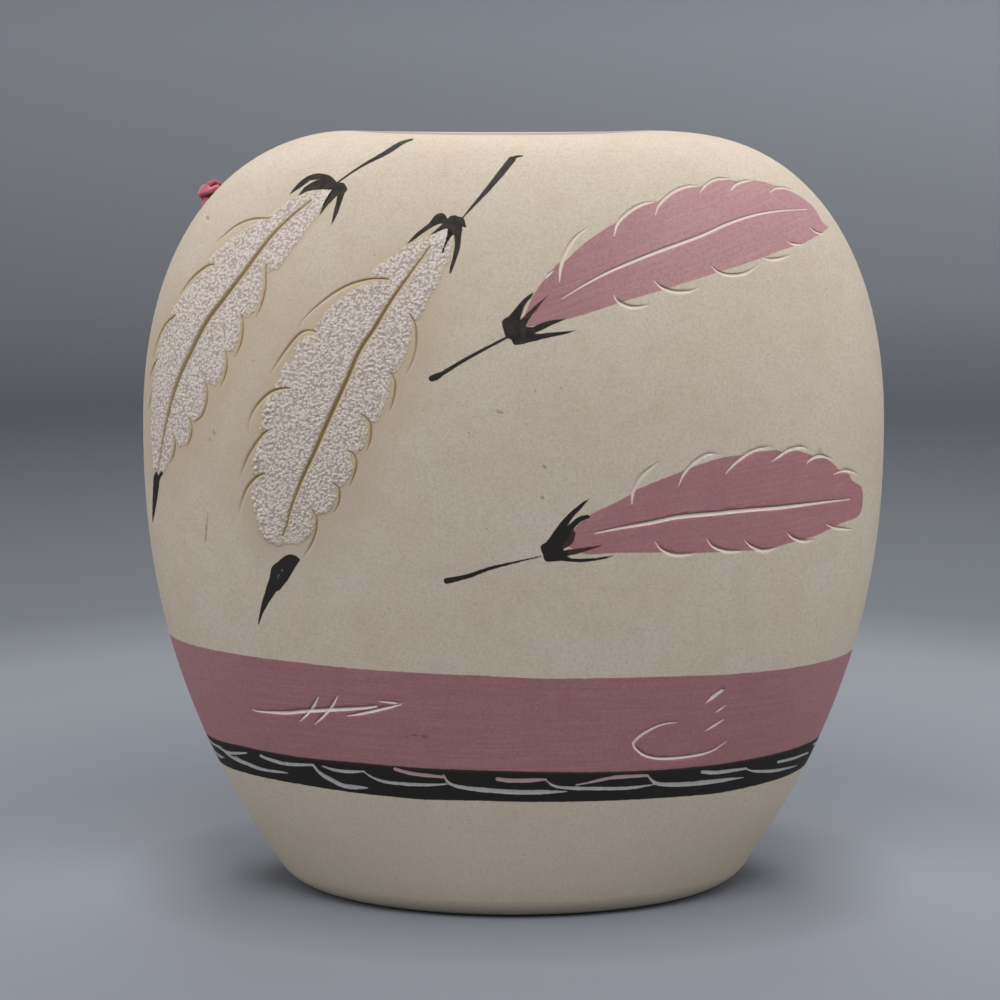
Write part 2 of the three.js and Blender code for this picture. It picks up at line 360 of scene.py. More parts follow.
IN_HOLE = HOLE_SPACING / 2
INSIDE = -WALL - LACE_THICKNESS
stitch_route = np.array([
    (-IN_HOLE + 0.9, 1.7), (-IN_HOLE + 0.1, 0.6), (-IN_HOLE, -WALL / 2),
    (-IN_HOLE, INSIDE + 1.4), (-IN_HOLE + 2, INSIDE - 0.7), (0, INSIDE - 1.2),
    (IN_HOLE - 2, INSIDE - 0.7), (IN_HOLE, INSIDE + 1.4), (IN_HOLE, -WALL / 2),
    (IN_HOLE - 0.1, 0.6), (IN_HOLE - 0.9, 1.7),
])
stitch_line = smooth_line(at_lace(stitch_route[:, 0], stitch_route[:, 1]), 0.5)
down_skin = at_lace(0.0, 0.0) - skin(LACE_TURN, LACE_CLIMB - 1e-3)
stitch_facing = unit(np.cross(down_skin[None, :], np.gradient(stitch_line, axis=0)))
stitch = sweep_strap(
    "lace_through_holes", stitch_line, stitch_facing, np.full(len(stitch_line), LACE_WIDTH),
    LACE_THICKNESS,
)
print("knot spans", np.ptp(knot_line, axis=0).round(1), "mm")

for piece, node in (
    (long_tail, "lace_tail_long"), (short_tail, "lace_tail_short"),
    (knot, "lace_knot"), (stitch, "lace_stitch"),
):
    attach(piece, "root")
    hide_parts(node)

# %% [markdown]
# ## The drawing
# The maker works freehand: four feathers, two bands round the foot and a few cut signs.
# Each line is written as the pixels that it passes and its widths in millimetres, and is
# laid on the skin. A loop tool gives round-bottomed gouges 1 to 1.5 mm wide that run out to
# nothing. A pointed brush gives black strokes that swell and taper.

# %% Lines and outlines
def stroke(pixels, widths, step=3.0):
    """(path on the skin, half-widths) of a tool line; the widths spread evenly along it."""
    line = smooth_line(pixels, step)
    share = run_length(line) / run_length(line)[-1]
    half = np.interp(share, np.linspace(0, 1, len(widths)), widths) / 2
    return on_pot(line), half


def brush(pixels, widths, step=2.5):
    """The same for a brush stroke, with widths in pixels across it."""
    line = smooth_line(pixels, step)
    path, half = stroke(pixels, widths, step)
    along = np.gradient(line, axis=0)
    across = unit(np.stack([-along[:, 1], along[:, 0]], axis=1))
    size = np.linalg.norm(on_pot(line + across) - on_pot(line - across), axis=1) / 2
    return path, half * size


def cut_lines(widths, *lines):
    """Tool lines that share their widths, each given by its pixels."""
    return [stroke(pixels, widths) for pixels in lines]


def outline(stretches, step=4.0):
    """A closed outline of smooth stretches that meet in corners, as points on the skin."""
    line = [smooth_line(points, step) if len(points) > 2 else np.array(points, float)
            for points in stretches]
    return on_pot(np.vstack(line))


GOUGE = (0.3, 1.0, 1.2, 1.0, 0.2)
NICK = (0.3, 1.1, 0.3)
BARB = (0.5, 1.0, 1.0, 0.8, 0.3)
THIN_BARB = (0.3, 0.7, 0.8, 0.7, 0.3)
RIB = (0.4, 1.1, 1.35, 1.45, 1.1, 0.4)

# %% White feather at the left
left_outline = outline([
    [(298.2, 196.7), (310, 191.3), (324, 189), (331.8, 189.6)],
    [(330, 195.6), (324.2, 204.3), (318.8, 214), (310, 226), (299.3, 240), (289.5, 253),
     (279.7, 268), (274.3, 271.5)],
    [(264.6, 272.6), (262.4, 283.4), (259.7, 297.5), (254.8, 310.5), (247.2, 318)],
    [(241.3, 319.2), (239.7, 332), (237.6, 342), (232, 351.7), (225.6, 350.6)],
    [(224.6, 354), (224, 366), (220.2, 377.7), (214.8, 385.3), (208.3, 384.2)],
    [(205, 386.4), (205, 399.4), (202.9, 410.2), (199.6, 419), (193, 422.2), (189.9, 418.4)],
    [(189.9, 422), (189.9, 433), (186.6, 443.8), (180, 447), (175.2, 438.4)],
    [(173.6, 438.4), (173.6, 447), (171.4, 456.8), (166, 467.7), (163.9, 472), (159.5, 470)],
    [(154, 470), (153, 454.7), (151.9, 438.4), (151.4, 422), (151.4, 400.5), (151.9, 390.7),
     (152.5, 378.8), (155.2, 367), (157.3, 359.3), (156.3, 355), (159.5, 344), (162, 334),
     (170, 315), (175, 306), (182.2, 295.3), (187.6, 288.8), (194, 280.2), (201.7, 272.6),
     (211.4, 267)],
    [(207, 260.6), (214.7, 253), (223.4, 245.5), (232, 238), (240.7, 231.4), (249.4, 227),
     (256, 222.7), (266.7, 216.2), (277.6, 209.7), (288.4, 200), (298.2, 196.7)],
])
left_gouges = cut_lines(
    RIB,
    [(311, 201), (292, 216), (269, 239), (242, 275), (223, 300), (206, 323), (191, 352),
     (175.5, 388), (166, 425), (161, 454), (159, 471)],
) + cut_lines(
    BARB,
    [(268.9, 218.4), (255.9, 218.9), (245, 221.6), (234.2, 227), (223.4, 235.7),
     (215.8, 242.2)],
    [(214.7, 265), (208.2, 265.5), (200.6, 270.4), (191.9, 278), (184.3, 287.7), (180, 294.3)],
    [(175.5, 315.5), (165, 325), (157, 342), (152.5, 359)],
    [(157.3, 359.8), (154, 364.7), (150.8, 373.4), (149.2, 381)],
    [(152.5, 390.7), (150.3, 399.4), (148.1, 410.2)],
) + cut_lines(
    THIN_BARB,
    [(266.2, 265), (265.6, 278), (264.6, 292), (260.2, 308.3), (255.9, 317)],
    [(241.8, 314.9), (242.9, 326.8), (241.4, 340.8), (237.6, 351.7), (234.3, 358.2)],
    [(225.6, 351.7), (226.7, 364.7), (224.6, 376.6), (220.2, 387.5)],
    [(206.1, 383), (207.2, 395), (205.6, 405.9), (201.8, 416.7), (195.3, 422.2)],
    [(189.3, 418.4), (191.5, 427.6), (190.4, 438.4), (186.6, 448.2)],
    [(174.1, 435.2), (175.2, 443.8), (173.6, 454.7), (170.4, 463.3)],
)
left_calyx = outline([
    [(288.5, 195.5), (297, 184.5), (304.5, 178), (311, 174.8), (320, 173.3), (330, 175.8),
     (337, 182)],
    [(344, 183), (347.5, 189), (344.8, 192.5)],
    [(342.5, 200), (337, 215), (331, 226)], [(336, 203), (337.3, 195.5)],
    [(327, 206), (318.8, 216.5)], [(325, 201), (331.8, 190)],
    [(321, 189.6), (308, 191.3), (298, 195.8)], [(304.5, 187), (313.5, 181.5), (320, 179.3)],
    [(310, 180.5), (301.5, 187)],
], 2.0)
left_tip = outline([
    [(156.3, 470.9), (158.4, 475.5)],
    [(161.1, 470.9), (163.3, 473.6)],
    [(160.8, 477), (159.5, 481.8), (158.6, 490), (157.3, 499), (155, 512), (152.5, 524)],
    [(152.3, 512), (152.5, 499), (153, 488), (153.6, 476.4)],
], 2.0)
left_black = [
    brush([(338.4, 181.8), (360, 167), (385, 153.2), (400, 143.5), (409.5, 139.8)],
          (1.8, 2.0, 2.8, 4.4, 5.0, 2.5)),
]
print("left feather", len(left_outline), "outline points,", len(left_gouges), "gouges")

# %% White feather in the middle
middle_outline = outline([
    [(423, 238.4), (430.9, 234), (441.8, 229.8), (447.2, 228.7), (453.7, 235.2)],
    [(452, 243), (450.4, 255.8), (447, 263.4), (441.8, 272), (437.4, 285), (430, 296),
     (425.5, 306.7), (419, 318.7), (414.7, 319.7)],
    [(411.4, 320.8), (412, 332.7), (409.3, 342.5), (406, 352.3), (402.7, 361), (396.2, 371.8),
     (390.8, 373)],
    [(389.4, 375.2), (390.4, 385), (388.3, 394.7), (385, 403.4), (381.8, 412), (376.4, 421.8),
     (371, 423)],
    [(365.5, 420.7), (367.1, 430.5), (365.5, 440.2), (362.3, 449), (355.8, 454.3)],
    [(350.3, 455.4), (352.5, 464), (351.4, 473.8), (347.1, 482.5), (340.6, 487.9)],
    [(335.2, 487.9), (336.2, 496.6), (334.1, 505.3), (328.7, 511.8), (320, 515)],
    [(312.4, 514.2), (313.5, 525), (310.2, 536), (299.4, 543.5), (284.2, 544.6),
     (275.5, 545.6), (268, 542.4), (262.5, 534.8), (258.2, 526), (256, 516.4), (252.8, 505.5),
     (251.7, 494.7), (252.8, 487), (256, 478.2)],
    [(252.8, 472.8), (252.2, 464), (254.9, 453.2), (258.2, 444.6), (263.6, 436)],
    [(259.3, 430.5), (262.5, 420.7), (263.6, 408.8), (266.9, 400), (276.6, 391.4)],
    [(273.4, 387), (278.8, 380.6), (282, 370.8), (287.5, 361), (290.7, 357), (296.3, 345.5),
     (302.6, 338.7), (309, 335.4), (314.9, 334.9)],
    [(314.9, 328.4), (320.4, 320.8), (328, 310), (338.8, 300.2), (349.6, 292.6), (360.5, 285),
     (372.4, 283)],
    [(370.2, 275.3), (376.7, 266.6), (387.6, 259), (398.4, 252.5), (406, 246), (414.7, 242.8),
     (423, 238.4)],
])
middle_gouges = cut_lines(
    RIB,
    [(429.9, 247), (417.9, 263.4), (398.4, 290.5), (387.6, 306.7), (374.6, 328.4),
     (359.2, 352), (347.1, 379.5), (336.2, 403.4), (325.4, 427.2), (314.6, 452.2),
     (301.6, 480.3), (290.7, 509.6), (286.4, 527), (283, 536)],
) + cut_lines(
    BARB,
    [(388.7, 279.6), (376.7, 279), (365.9, 280.2), (349.6, 285), (333.4, 293.7),
     (320.4, 303.5), (309.5, 313.2), (301.9, 321.9), (298.7, 328.4)],
    [(316, 332.2), (308.4, 330.6), (300.8, 333.3), (293.3, 340.3), (281, 357), (270, 374)],
    [(289.6, 388.2), (282, 388.7), (273.4, 390.9), (264.7, 396.9), (256, 406.6),
     (250.6, 417.5), (248, 429.4), (249, 438)],
    [(268, 430.5), (262.5, 434.8), (254.9, 444.6), (247.3, 457.6), (241.9, 472.8),
     (240.3, 480.3)],
    [(264.7, 473.8), (257, 477), (248.4, 485.8), (243, 497.7), (239.8, 511.8), (240.3, 521.5)],
) + cut_lines(
    THIN_BARB,
    [(410.3, 314.3), (414.7, 324), (416.3, 335), (416.3, 344.7), (413.6, 358.8),
     (409.3, 368.5), (405, 375)],
    [(390.8, 373), (394.8, 381.7), (394.8, 392.5), (392.6, 403.4), (389.4, 412)],
    [(361.2, 414.2), (366.6, 418.5), (370.4, 425), (370.9, 433.7), (369.9, 442.4),
     (366.6, 451)],
    [(347.1, 451), (352.5, 453.2), (355.8, 459.7), (356.3, 467.3), (353.6, 477),
     (349.3, 486.8)],
    [(333, 483.6), (338.4, 487.9), (339.5, 496.6), (338.4, 504.2), (334.1, 512.9)],
    [(312.4, 510.7), (316.2, 516.1), (316.7, 525), (314.6, 535.9), (310.2, 546.7),
     (302.6, 558.7)],
)
middle_calyx = outline([
    [(405.9, 245.2), (410.2, 239.8), (416.3, 233.2), (423, 227.8), (428.6, 223.5),
     (432.1, 218.9), (435.2, 215.3), (438.8, 213.5), (442.3, 213), (445.4, 214.8),
     (446.9, 217.6), (448.2, 218.9)],
    [(448.7, 217.1), (451.5, 215.8), (455.4, 215.1), (458.2, 216.6), (462, 217.1),
     (464.3, 218.9), (465.1, 221.9), (466.3, 227)],
    [(465.3, 227.8), (462.5, 226.8)],
    [(462.2, 230.6), (461.2, 236.7), (460.5, 244.9), (458.7, 252.6), (455.1, 262.8),
     (452, 270.9), (450, 274.2)],
    [(449, 273.5), (450.3, 266.3), (452, 260.2), (453.6, 252), (454.8, 243.9), (454.1, 234.7)],
    [(452, 236.2), (449, 240.3), (445.9, 245.9), (443.1, 253.6)],
    [(441.8, 252), (443.9, 245.9), (445.9, 239.8), (447.4, 232.7), (447.7, 229.1)],
    [(445.9, 228.6), (441.8, 230.1), (436.7, 232.7), (431.6, 234.7), (425, 238.8)],
    [(432.7, 232.7), (437.8, 228.1), (443.4, 223.2)],
    [(437.8, 224.5), (432.7, 227), (427.6, 230.1), (420.4, 235.2), (413.3, 240.3)],
], 2.0)
middle_tip = outline([
    [(277.7, 561.9), (284.2, 556.5), (290.7, 554.3), (296.1, 555.9), (300.5, 559.2)],
    [(294, 569.5), (287.5, 580.3), (279.9, 590.1)],
    [(276.6, 591.2), (268.5, 603.5), (262.8, 614), (259, 625)],
    [(257.8, 624), (260.6, 608), (266.2, 588), (269.6, 577.1), (271.2, 568.4), (273.9, 564.6)],
], 2.0)
thin_slip = outline([
    [(262, 536), (268, 542), (276, 545), (285, 544), (300, 543), (310, 537)],
    [(310, 543), (302.6, 558.7)],
    [(300.5, 559.2), (296.1, 555.9), (290.7, 554.3), (284.2, 556.5), (277.7, 561.9)],
    [(272, 567), (267, 556), (262, 536)],
])
middle_black = [
    brush([(463, 217.3), (476.5, 202), (490.5, 186), (512, 159.5)], (1.6, 3.2, 5.0, 6.6, 6.8)),
    brush([(510.5, 160.5), (516, 157), (522.5, 156)], (5.0, 3.0, 1.2)),
]
tip_scratches = [
    stroke([(282.5, 569.5), (281.6, 571.6)], (0.2, 0.2)),
    stroke([(279, 574.5), (277.4, 580)], (0.3, 0.1)),
]
print("middle feather", len(middle_outline), "outline points")

# %% Upper mauve feather
upper_outline = outline([
    [(522, 322), (534, 294), (547.5, 276), (557, 264)],
    [(565, 261.5), (577, 249.5), (594.5, 236), (613, 224)],
    [(624, 218.5), (637, 209), (654.5, 202)],
    [(664, 198.5), (677.5, 192), (684, 189), (699, 186.5)],
    [(713.5, 181), (727, 179), (737.5, 181)],
    [(745.5, 180.5), (760.5, 181), (774, 185), (792.5, 192), (806, 200.5), (815, 209),
     (822.5, 222), (829, 227)],
    [(829, 227), (819.5, 234.5), (802, 244), (788.5, 248), (776.5, 252), (759, 259),
     (727, 269.5), (700, 278), (664, 289.5), (624, 301.5), (577, 316.5), (546, 323),
     (526, 327), (522, 322)],
])
upper_gouges = [
    stroke([(561.5, 299), (584, 285), (610.5, 271), (651, 254), (700, 236), (727, 224),
            (754, 215), (780.5, 210.5), (807, 209)], (0.3, 0.9, 1.1, 1.1, 0.9, 0.3)),
    stroke([(545.5, 279), (549, 274), (554, 270.5)], (0.2, 0.9, 0.2)),
    stroke([(770, 192.5), (775, 188.5), (784.5, 188), (794, 190.5)], (0.3, 1.0, 0.3)),
] + cut_lines(
    GOUGE,
    [(559.5, 281.5), (561, 267), (566.5, 251), (576, 237), (589, 227)],
    [(614, 236), (618.5, 222.5), (630.5, 210.5), (645, 203), (654.5, 202)],
    [(655.5, 215), (660, 204), (673.5, 192), (688, 186), (700, 186)],
    [(700, 192.5), (707, 184.5), (717.5, 179), (732.5, 178.5)],
    [(731, 190.5), (736.5, 184.5), (745.5, 181), (752.5, 180.5)],
    [(614, 295), (618.5, 301.5), (632, 307), (649.5, 305)],
    [(654, 280), (661.5, 287), (675, 291.5), (691, 291), (700, 287.5)],
    [(711.5, 266), (719, 272), (731, 275), (746, 273), (759, 265)],
    [(763, 257), (770, 259.5), (780.5, 258.5), (791, 255)],
) + cut_lines(
    NICK,
    [(787, 241), (794, 244), (803, 244.5)],
    [(809, 226.5), (816.5, 232), (823.5, 234)],
)
upper_calyx = outline([
    [(502, 321.8), (504.1, 318.8), (508.3, 316.7), (513.2, 310.9), (519.2, 303.6),
     (525.3, 297.6), (531.4, 293.3), (534.7, 291.5)],
    [(531.4, 297), (525.3, 304.8), (522.3, 312.1), (520.1, 320)],
    [(525.3, 315.1), (531.4, 309.1), (537.4, 303.6), (543.5, 298.8), (549.5, 294.2)],
    [(544.7, 299.4), (538.6, 307.3), (532.6, 314.5), (527.7, 321.8), (525.3, 326.7)],
    [(532.6, 327), (541, 323.3), (549.5, 320.6), (558.6, 319.4), (568.3, 318.2)],
    [(560.4, 321.5), (552.6, 324.8), (543.5, 329.4), (533.8, 333.6)],
    [(537.4, 333.9), (549.5, 332.7), (561.6, 331.5), (578.3, 330)],
    [(564.7, 334.5), (549.5, 337.6), (537.4, 340.6), (528.9, 342.4), (525.9, 343.3),
     (519.2, 344.8), (513.8, 344.8), (512, 341.2), (510.1, 339.1), (505.9, 337.6),
     (504.1, 332.1), (502.3, 326)],
], 2.0)
upper_black = [
    brush([(506.8, 337.4), (468, 358), (442, 373.8)], (2.5, 3.4, 4.3)),
    brush([(442, 373.8), (436, 377), (431.5, 378.6)], (4.3, 7.0, 6.0)),
]

# %% Lower mauve feather
lower_outline = outline([
    [(566, 545), (576, 527), (591.5, 514), (612.5, 504), (630.5, 494.5)],
    [(638, 489), (650, 484), (664.5, 478), (679, 472.5)],
    [(692.5, 467), (720.5, 458), (741, 455)],
    [(752.5, 452), (776, 450), (782, 452)],
    [(796.5, 450.5), (810, 454), (816, 458)],
    [(826, 458), (833.5, 463.5), (838, 469)],
    [(849.5, 474), (852.5, 481), (861, 486), (863, 495), (862.5, 503), (861, 512),
     (855.5, 518), (839, 524), (826, 531), (808.5, 538), (789.5, 543), (767.5, 549),
     (738, 551), (694, 553), (650, 552.5), (612.5, 553), (584, 554), (566, 545)],
])
lower_gouges = [
    stroke([(595.5, 533), (619.5, 528), (650, 522.5), (679, 516.5), (716, 513),
            (745, 510), (782, 507), (819, 502.5), (850, 499)], (0.5, 1.3, 1.5, 1.4, 1.2, 0.4)),
    stroke([(807, 463), (813, 458), (821.5, 455.5), (832, 459)], (0.3, 1.2, 1.0, 0.3)),
] + cut_lines(
    GOUGE,
    [(632, 504.5), (633.5, 491.5), (640.5, 477.5), (650, 468.5), (660, 461.5)],
    [(678.5, 486), (685, 472.5), (695.5, 461.5), (709, 454), (722, 455.5)],
    [(725.5, 474), (735, 463.5), (750, 452.5), (764.5, 447.5), (774.5, 448)],
    [(772, 461.5), (780.5, 455.5), (791, 449), (802.5, 447), (810.5, 450.5)],
    [(655, 541), (661.5, 549), (675, 554.5), (695.5, 554)],
    [(707, 538.5), (713, 546), (726.5, 551), (742.5, 551)],
    [(744.5, 540), (752.5, 546.5), (764.5, 550.5), (777.5, 547.5)],
    [(787, 532.5), (794, 538), (804, 541), (814.5, 539.5)],
) + cut_lines(
    NICK,
    [(834, 474), (842, 471), (849.5, 470.5), (857.5, 474)],
    [(826, 524), (835, 527.5), (852.5, 529.5)],
)
lower_calyx = outline([
    [(540.6, 547), (542.1, 544.5), (545.1, 542.7), (549.4, 537.9), (555.4, 529.4),
     (561.5, 521.5), (568.8, 513.6), (577.3, 506.4), (584.5, 500.9), (591.5, 497.3)],
    [(585.7, 503.3), (579.7, 510), (573.6, 516.7), (566.4, 527)],
    [(571.2, 522.7), (576, 518.5), (581.5, 515.7), (588.2, 514.8), (590.3, 516.7),
     (588.8, 518.2), (583.3, 520.3), (578.5, 523.9), (574.8, 527.6), (573.6, 530.6)],
    [(576, 533), (574.8, 536.7), (573.6, 541.5), (570, 545.7), (563.9, 548.8)],
    [(563.3, 550.6), (572.4, 549.1), (584.5, 547.6), (593.6, 546.3), (604.2, 544.5)],
    [(596.6, 547.9), (587.6, 550.6), (578.5, 553.6), (566.4, 556.3)],
    [(572.4, 558.5), (581.5, 558.8), (590.6, 558.2), (602.7, 557), (615.7, 555.4)],
    [(605.7, 558.5), (593.6, 560.9), (581.5, 562.1), (569.4, 561.8), (562.7, 560.9),
     (554.2, 561.5), (545.8, 561.5), (543.3, 557.3), (543.3, 555.4), (541.5, 551.2)],
], 2.0)
lower_black = [
    brush([(541, 556), (536.9, 557.2), (492.4, 567.8), (469.4, 575.8), (452.2, 579.8),
           (446.5, 580.9)], (1.4, 1.7, 2.8, 3.7, 4.8, 6.0)),
]

# %% Thin and smudged paint
thin_black = [
    brush([(523, 318), (531.4, 311), (538, 304.5), (549.5, 294.2)], (5, 6, 4.5, 3)),
    brush([(575, 532), (572, 541), (565, 547)], (8, 9, 6)),
    brush([(571, 552), (584.5, 549), (604, 545)], (6, 5, 3)),
    brush([(450, 236), (446, 243), (442.5, 253)], (3, 6, 4)),
]
smudges = [
    brush([(404, 736), (408, 736.6)], (1, 1.5)),
    brush([(411, 735.3), (418, 735.3)], (1, 2, 1)),
    brush([(421.5, 736), (428.4, 737)], (2, 3, 1.5)),
    brush([(497, 411), (503, 413)], (3, 2)),
    brush([(207, 217), (209, 219)], (3, 2)),
    brush([(213.6, 432), (215.2, 433.4)], (3, 2)),
    brush([(209.6, 439.4), (210.8, 440.6)], (2, 2)),
    brush([(544, 466), (546, 468)], (3, 2)),
    brush([(542, 497), (544, 499)], (3, 2)),
    brush([(208, 512), (207, 522), (205.3, 541)], (1, 2, 2)),
]

# %% Signs cut in the mauve band
SIGN = (0.4, 1.1, 1.2, 1.1, 0.4)
sign_gouges = [
    stroke([(252.3, 708.9), (257.4, 711), (285, 712.3), (301, 711), (328.6, 709.4),
            (360.7, 707.8), (376, 706.2)], (0.4, 1.4, 1.4, 1.4, 0.8)),
    stroke([(379, 701.3), (390, 702.2), (401, 703.6)], (0.3, 0.8, 0.4)),
    stroke([(347, 715.8), (360.7, 713.3), (381.4, 708.7), (401, 704.4)], SIGN),
    stroke([(318.2, 696.7), (310.2, 709.4), (299.9, 720.8)], SIGN),
    stroke([(337.7, 695.6), (328.6, 709.4), (314.8, 723.8)], SIGN),
    stroke([(677.1, 722.4), (666.3, 723.3), (654.7, 727.1), (641.5, 734.5), (634.5, 741.2),
            (634, 744.5), (637.3, 749.5), (644.8, 755), (654.7, 757.6), (666.3, 758.2),
            (682.9, 757), (699.5, 754.4), (712.8, 750.4), (721.9, 744.6), (726.9, 740.8)],
           (0.3, 0.9, 1.0, 1.0, 0.9, 0.3)),
    stroke([(722.7, 689.8), (715, 695.3), (706.1, 703)], (1.1, 1.4, 0.3)),
    stroke([(725.2, 705.5), (716.1, 712.1)], (0.3, 0.7, 0.3)),
    stroke([(723.5, 719.6), (705.3, 730.9)], (0.5, 0.9, 0.3)),
]

# %% [markdown]
# ## The two bands and the scratched line of feathers
# The mauve band and the black band below it go all round. They were brushed by hand with
# the pot on a banding wheel, so their edges sink a few millimetres from left to right and
# wander a little. Pairs of short strokes are scraped through the black down to the clay,
# like barbs lying on each other. Those at the front follow the photograph, and the same
# pair, copied round at the same spacing, closes the ring at the back.

# %% Bands
BAND_X = np.array([-115, -94, -83, -65, -46, -28, -10, 8, 26, 44, 62, 82, 100, 115])
BAND_TOP, BAND_MIDDLE, BAND_LOW = np.array([
    [79.6, 79, 78.7, 78.2, 77.3, 76.9, 76.4, 75.5, 75.3, 75.1, 74.5, 74.2, 74.5, 75.2],
    [47.6, 48.1, 48.7, 48.1, 48.1, 47.5, 47.3, 46.8, 46.3, 46, 46.1, 46.8, 47.6, 48],
    [38.4, 38.9, 39.3, 39.1, 38.2, 37.5, 37.7, 37.3, 37.1, 36.9, 36.5, 37.4, 38.6, 39.3],
])
BLACK_BAND_HEIGHT = 44.0
BLACK_BAND_RADIUS = 80


def band_edge(points, heights):
    """Height of a band's edge beside each point; the back mirrors the front and wanders."""
    x, y = points[..., 0], points[..., 1]
    wander = 0.5 * np.sin(x * 0.061 + heights[0]) * np.clip(y / BELLY_HALF[1], 0, 1)
    return np.interp(x, BAND_X, heights) + wander


def band_stroke(turns, drops, widths):
    """A stroke in the black band, from turns in degrees and drops from its upper edge."""
    knots = np.stack([np.radians(np.array(turns, float)) * BLACK_BAND_RADIUS, drops], axis=1)
    line = smooth_line(knots, 0.8)
    angle = line[:, 0] / BLACK_BAND_RADIUS
    flat = skin(angle, climb_at(np.full(len(angle), BLACK_BAND_HEIGHT)))
    z = band_edge(flat, BAND_MIDDLE) - line[:, 1]
    share = run_length(line) / run_length(line)[-1]
    half = np.interp(share, np.linspace(0, 1, len(widths)), widths) / 2
    return skin(angle, climb_at(z)), half


SCRAPE = (0.3, 0.8, 0.9, 0.8, 0.3)
scrapes = cut_lines(
    SCRAPE,
    [(215, 744.5), (222, 749.5), (230.5, 753), (247, 753)],
    [(235, 756), (247, 764), (262.5, 769.5), (288, 773)],
    [(322, 766), (332.5, 769.5), (345, 771.5), (364, 771.5)],
    [(364, 772), (373.5, 778), (386, 782), (405, 784), (428, 785), (448, 784)],
    [(746, 768.5), (752.5, 771), (771, 771), (786, 768.5), (797, 765.5)],
) + [
    stroke([(261, 756), (271, 760), (287, 764), (313, 765)], (0.9, 1.0, 0.9, 0.6)),
    stroke([(313, 765), (320, 773), (332.5, 780.5), (345, 786), (367.5, 788)],
           (0.5, 1.1, 1.8, 1.5, 0.3)),
    stroke([(395, 769), (405, 772), (418, 774.5), (443.5, 777)], (0.9, 0.9, 1.0, 0.6)),
    stroke([(443.5, 775.5), (450.5, 784), (470, 788.5), (512, 792), (547, 792), (567, 791.5)],
           (0.5, 1.0, 1.4, 1.6, 1.2, 0.3)),
    stroke([(497.5, 779), (509.5, 780.5), (526, 780.5), (546, 779.5)], (1.0, 1.1, 1.1, 0.6)),
    stroke([(546, 780.5), (554, 786), (568.5, 788), (596.5, 788.5), (628, 788), (657.5, 784)],
           (0.4, 0.9, 0.9, 0.8, 0.3)),
    stroke([(576, 785), (589.5, 782.5), (610, 778), (628, 776.5), (647.5, 775.5)],
           (0.3, 0.8, 1.0, 0.7)),
    stroke([(647.5, 775.5), (654.5, 782.5), (665, 784.5), (689.5, 784), (717, 781), (743, 777.5)],
           (0.5, 1.3, 1.4, 1.2, 0.3)),
    stroke([(702.5, 772), (717, 772.5), (732.5, 770.5), (746, 768.5)], (0.9, 1.0, 1.0, 0.6)),
    stroke([(778.3, 762), (793, 758.5), (808, 752.8)], (0.8, 0.9, 0.6)),
]
BACK_PAIRS = 13
BACK_START, BACK_TURN = -15, 214
back_scrapes = []
for k in range(BACK_PAIRS):
    start = BACK_START + k * (BACK_TURN / BACK_PAIRS)
    sway = 0.4 * math.sin(k * 2.4)
    back_scrapes.append(band_stroke(
        [start + 1.5, start + 7, start + 13, start + 17.5],
        [1.9 + sway, 2.6 + sway, 2.7, 2.5], (0.9, 1.0, 0.9, 0.5)))
    back_scrapes.append(band_stroke(
        [start + 17, start + 20, start + 26, start + 33],
        [2.6, 4.6 + sway, 5.9 + sway, 6.2], (0.5, 1.1, 1.2, 0.3)))
SCRAPER_HALF = 0.7
PRESSED_WIDER = 1.15
scrapes, back_scrapes = (
    [(path, np.minimum(half * PRESSED_WIDER, SCRAPER_HALF)) for path, half in lines]
    for lines in (scrapes, back_scrapes))
print(len(scrapes), "scraped strokes in front,", len(back_scrapes), "behind")

# %% [markdown]
# ## Fields over the skin
# Paint and gouges need two things at every vertex: how deep the tool went, and how far the
# point lies inside or outside each painted shape. Both are plain distances to the lines
# above. The depths move the vertices, and the distances are kept as attributes, from which
# the material draws an edge that stays sharp at any zoom.

# %% Distances to lines
def beside(points, strokes, reach=1.0):
    """Three values for each point: distance inside the edge of the nearest line, depth of
    its round section there, and side, from -1 at its lower lip to 1 at its upper lip."""
    inside = np.full(len(points), -float(reach))
    share, side = np.zeros(len(points)), np.zeros(len(points))
    for path, half in strokes:
        margin = half.max() + reach
        near = np.flatnonzero(
            np.all((points > path.min(0) - margin) & (points < path.max(0) + margin), axis=1)
        )
        if len(near) == 0:
            continue
        start, span = path[:-1], np.diff(path, axis=0)
        offset = points[near][:, None, :] - start[None]
        along = np.clip(
            (offset * span).sum(-1) / np.maximum((span * span).sum(-1), 1e-9), 0, 1
        )
        distance = np.linalg.norm(offset - along[..., None] * span, axis=-1)
        width = half[:-1] + along * np.diff(half)
        depth = width * np.clip(1 - (distance / np.maximum(width, 1e-6)) ** 2, 0, 1) ** 0.65
        best, rows = (width - distance).argmax(axis=1), np.arange(len(near))
        middle = start[best, 2] + along[rows, best] * span[best, 2]
        above = (points[near, 2] - middle) / np.maximum(width[rows, best], 1e-6)
        nearest = (width - distance).max(axis=1) > inside[near]
        side[near] = np.where(nearest, np.clip(above, -1, 1), side[near])
        inside[near] = np.maximum(inside[near], (width - distance).max(axis=1))
        share[near] = np.maximum(share[near], depth.max(axis=1))
    return inside, share, side


def unrolled(points):
    """Angle and climb as millimetres along the girth and up the front of the pot."""
    angle, climb = unskin(points)
    return np.stack([
        np.interp(np.mod(angle, 2 * math.pi), ANGLES, GIRTH), np.interp(climb, CLIMBS, RISE)
    ], axis=-1)


ANGLES = np.linspace(0, 2 * math.pi, 721)
GIRTH = run_length(skin(ANGLES, np.ones(len(ANGLES))))
CLIMBS = np.linspace(0, 2, 801)
RISE = run_length(skin(np.full(len(CLIMBS), -math.pi / 2), CLIMBS))


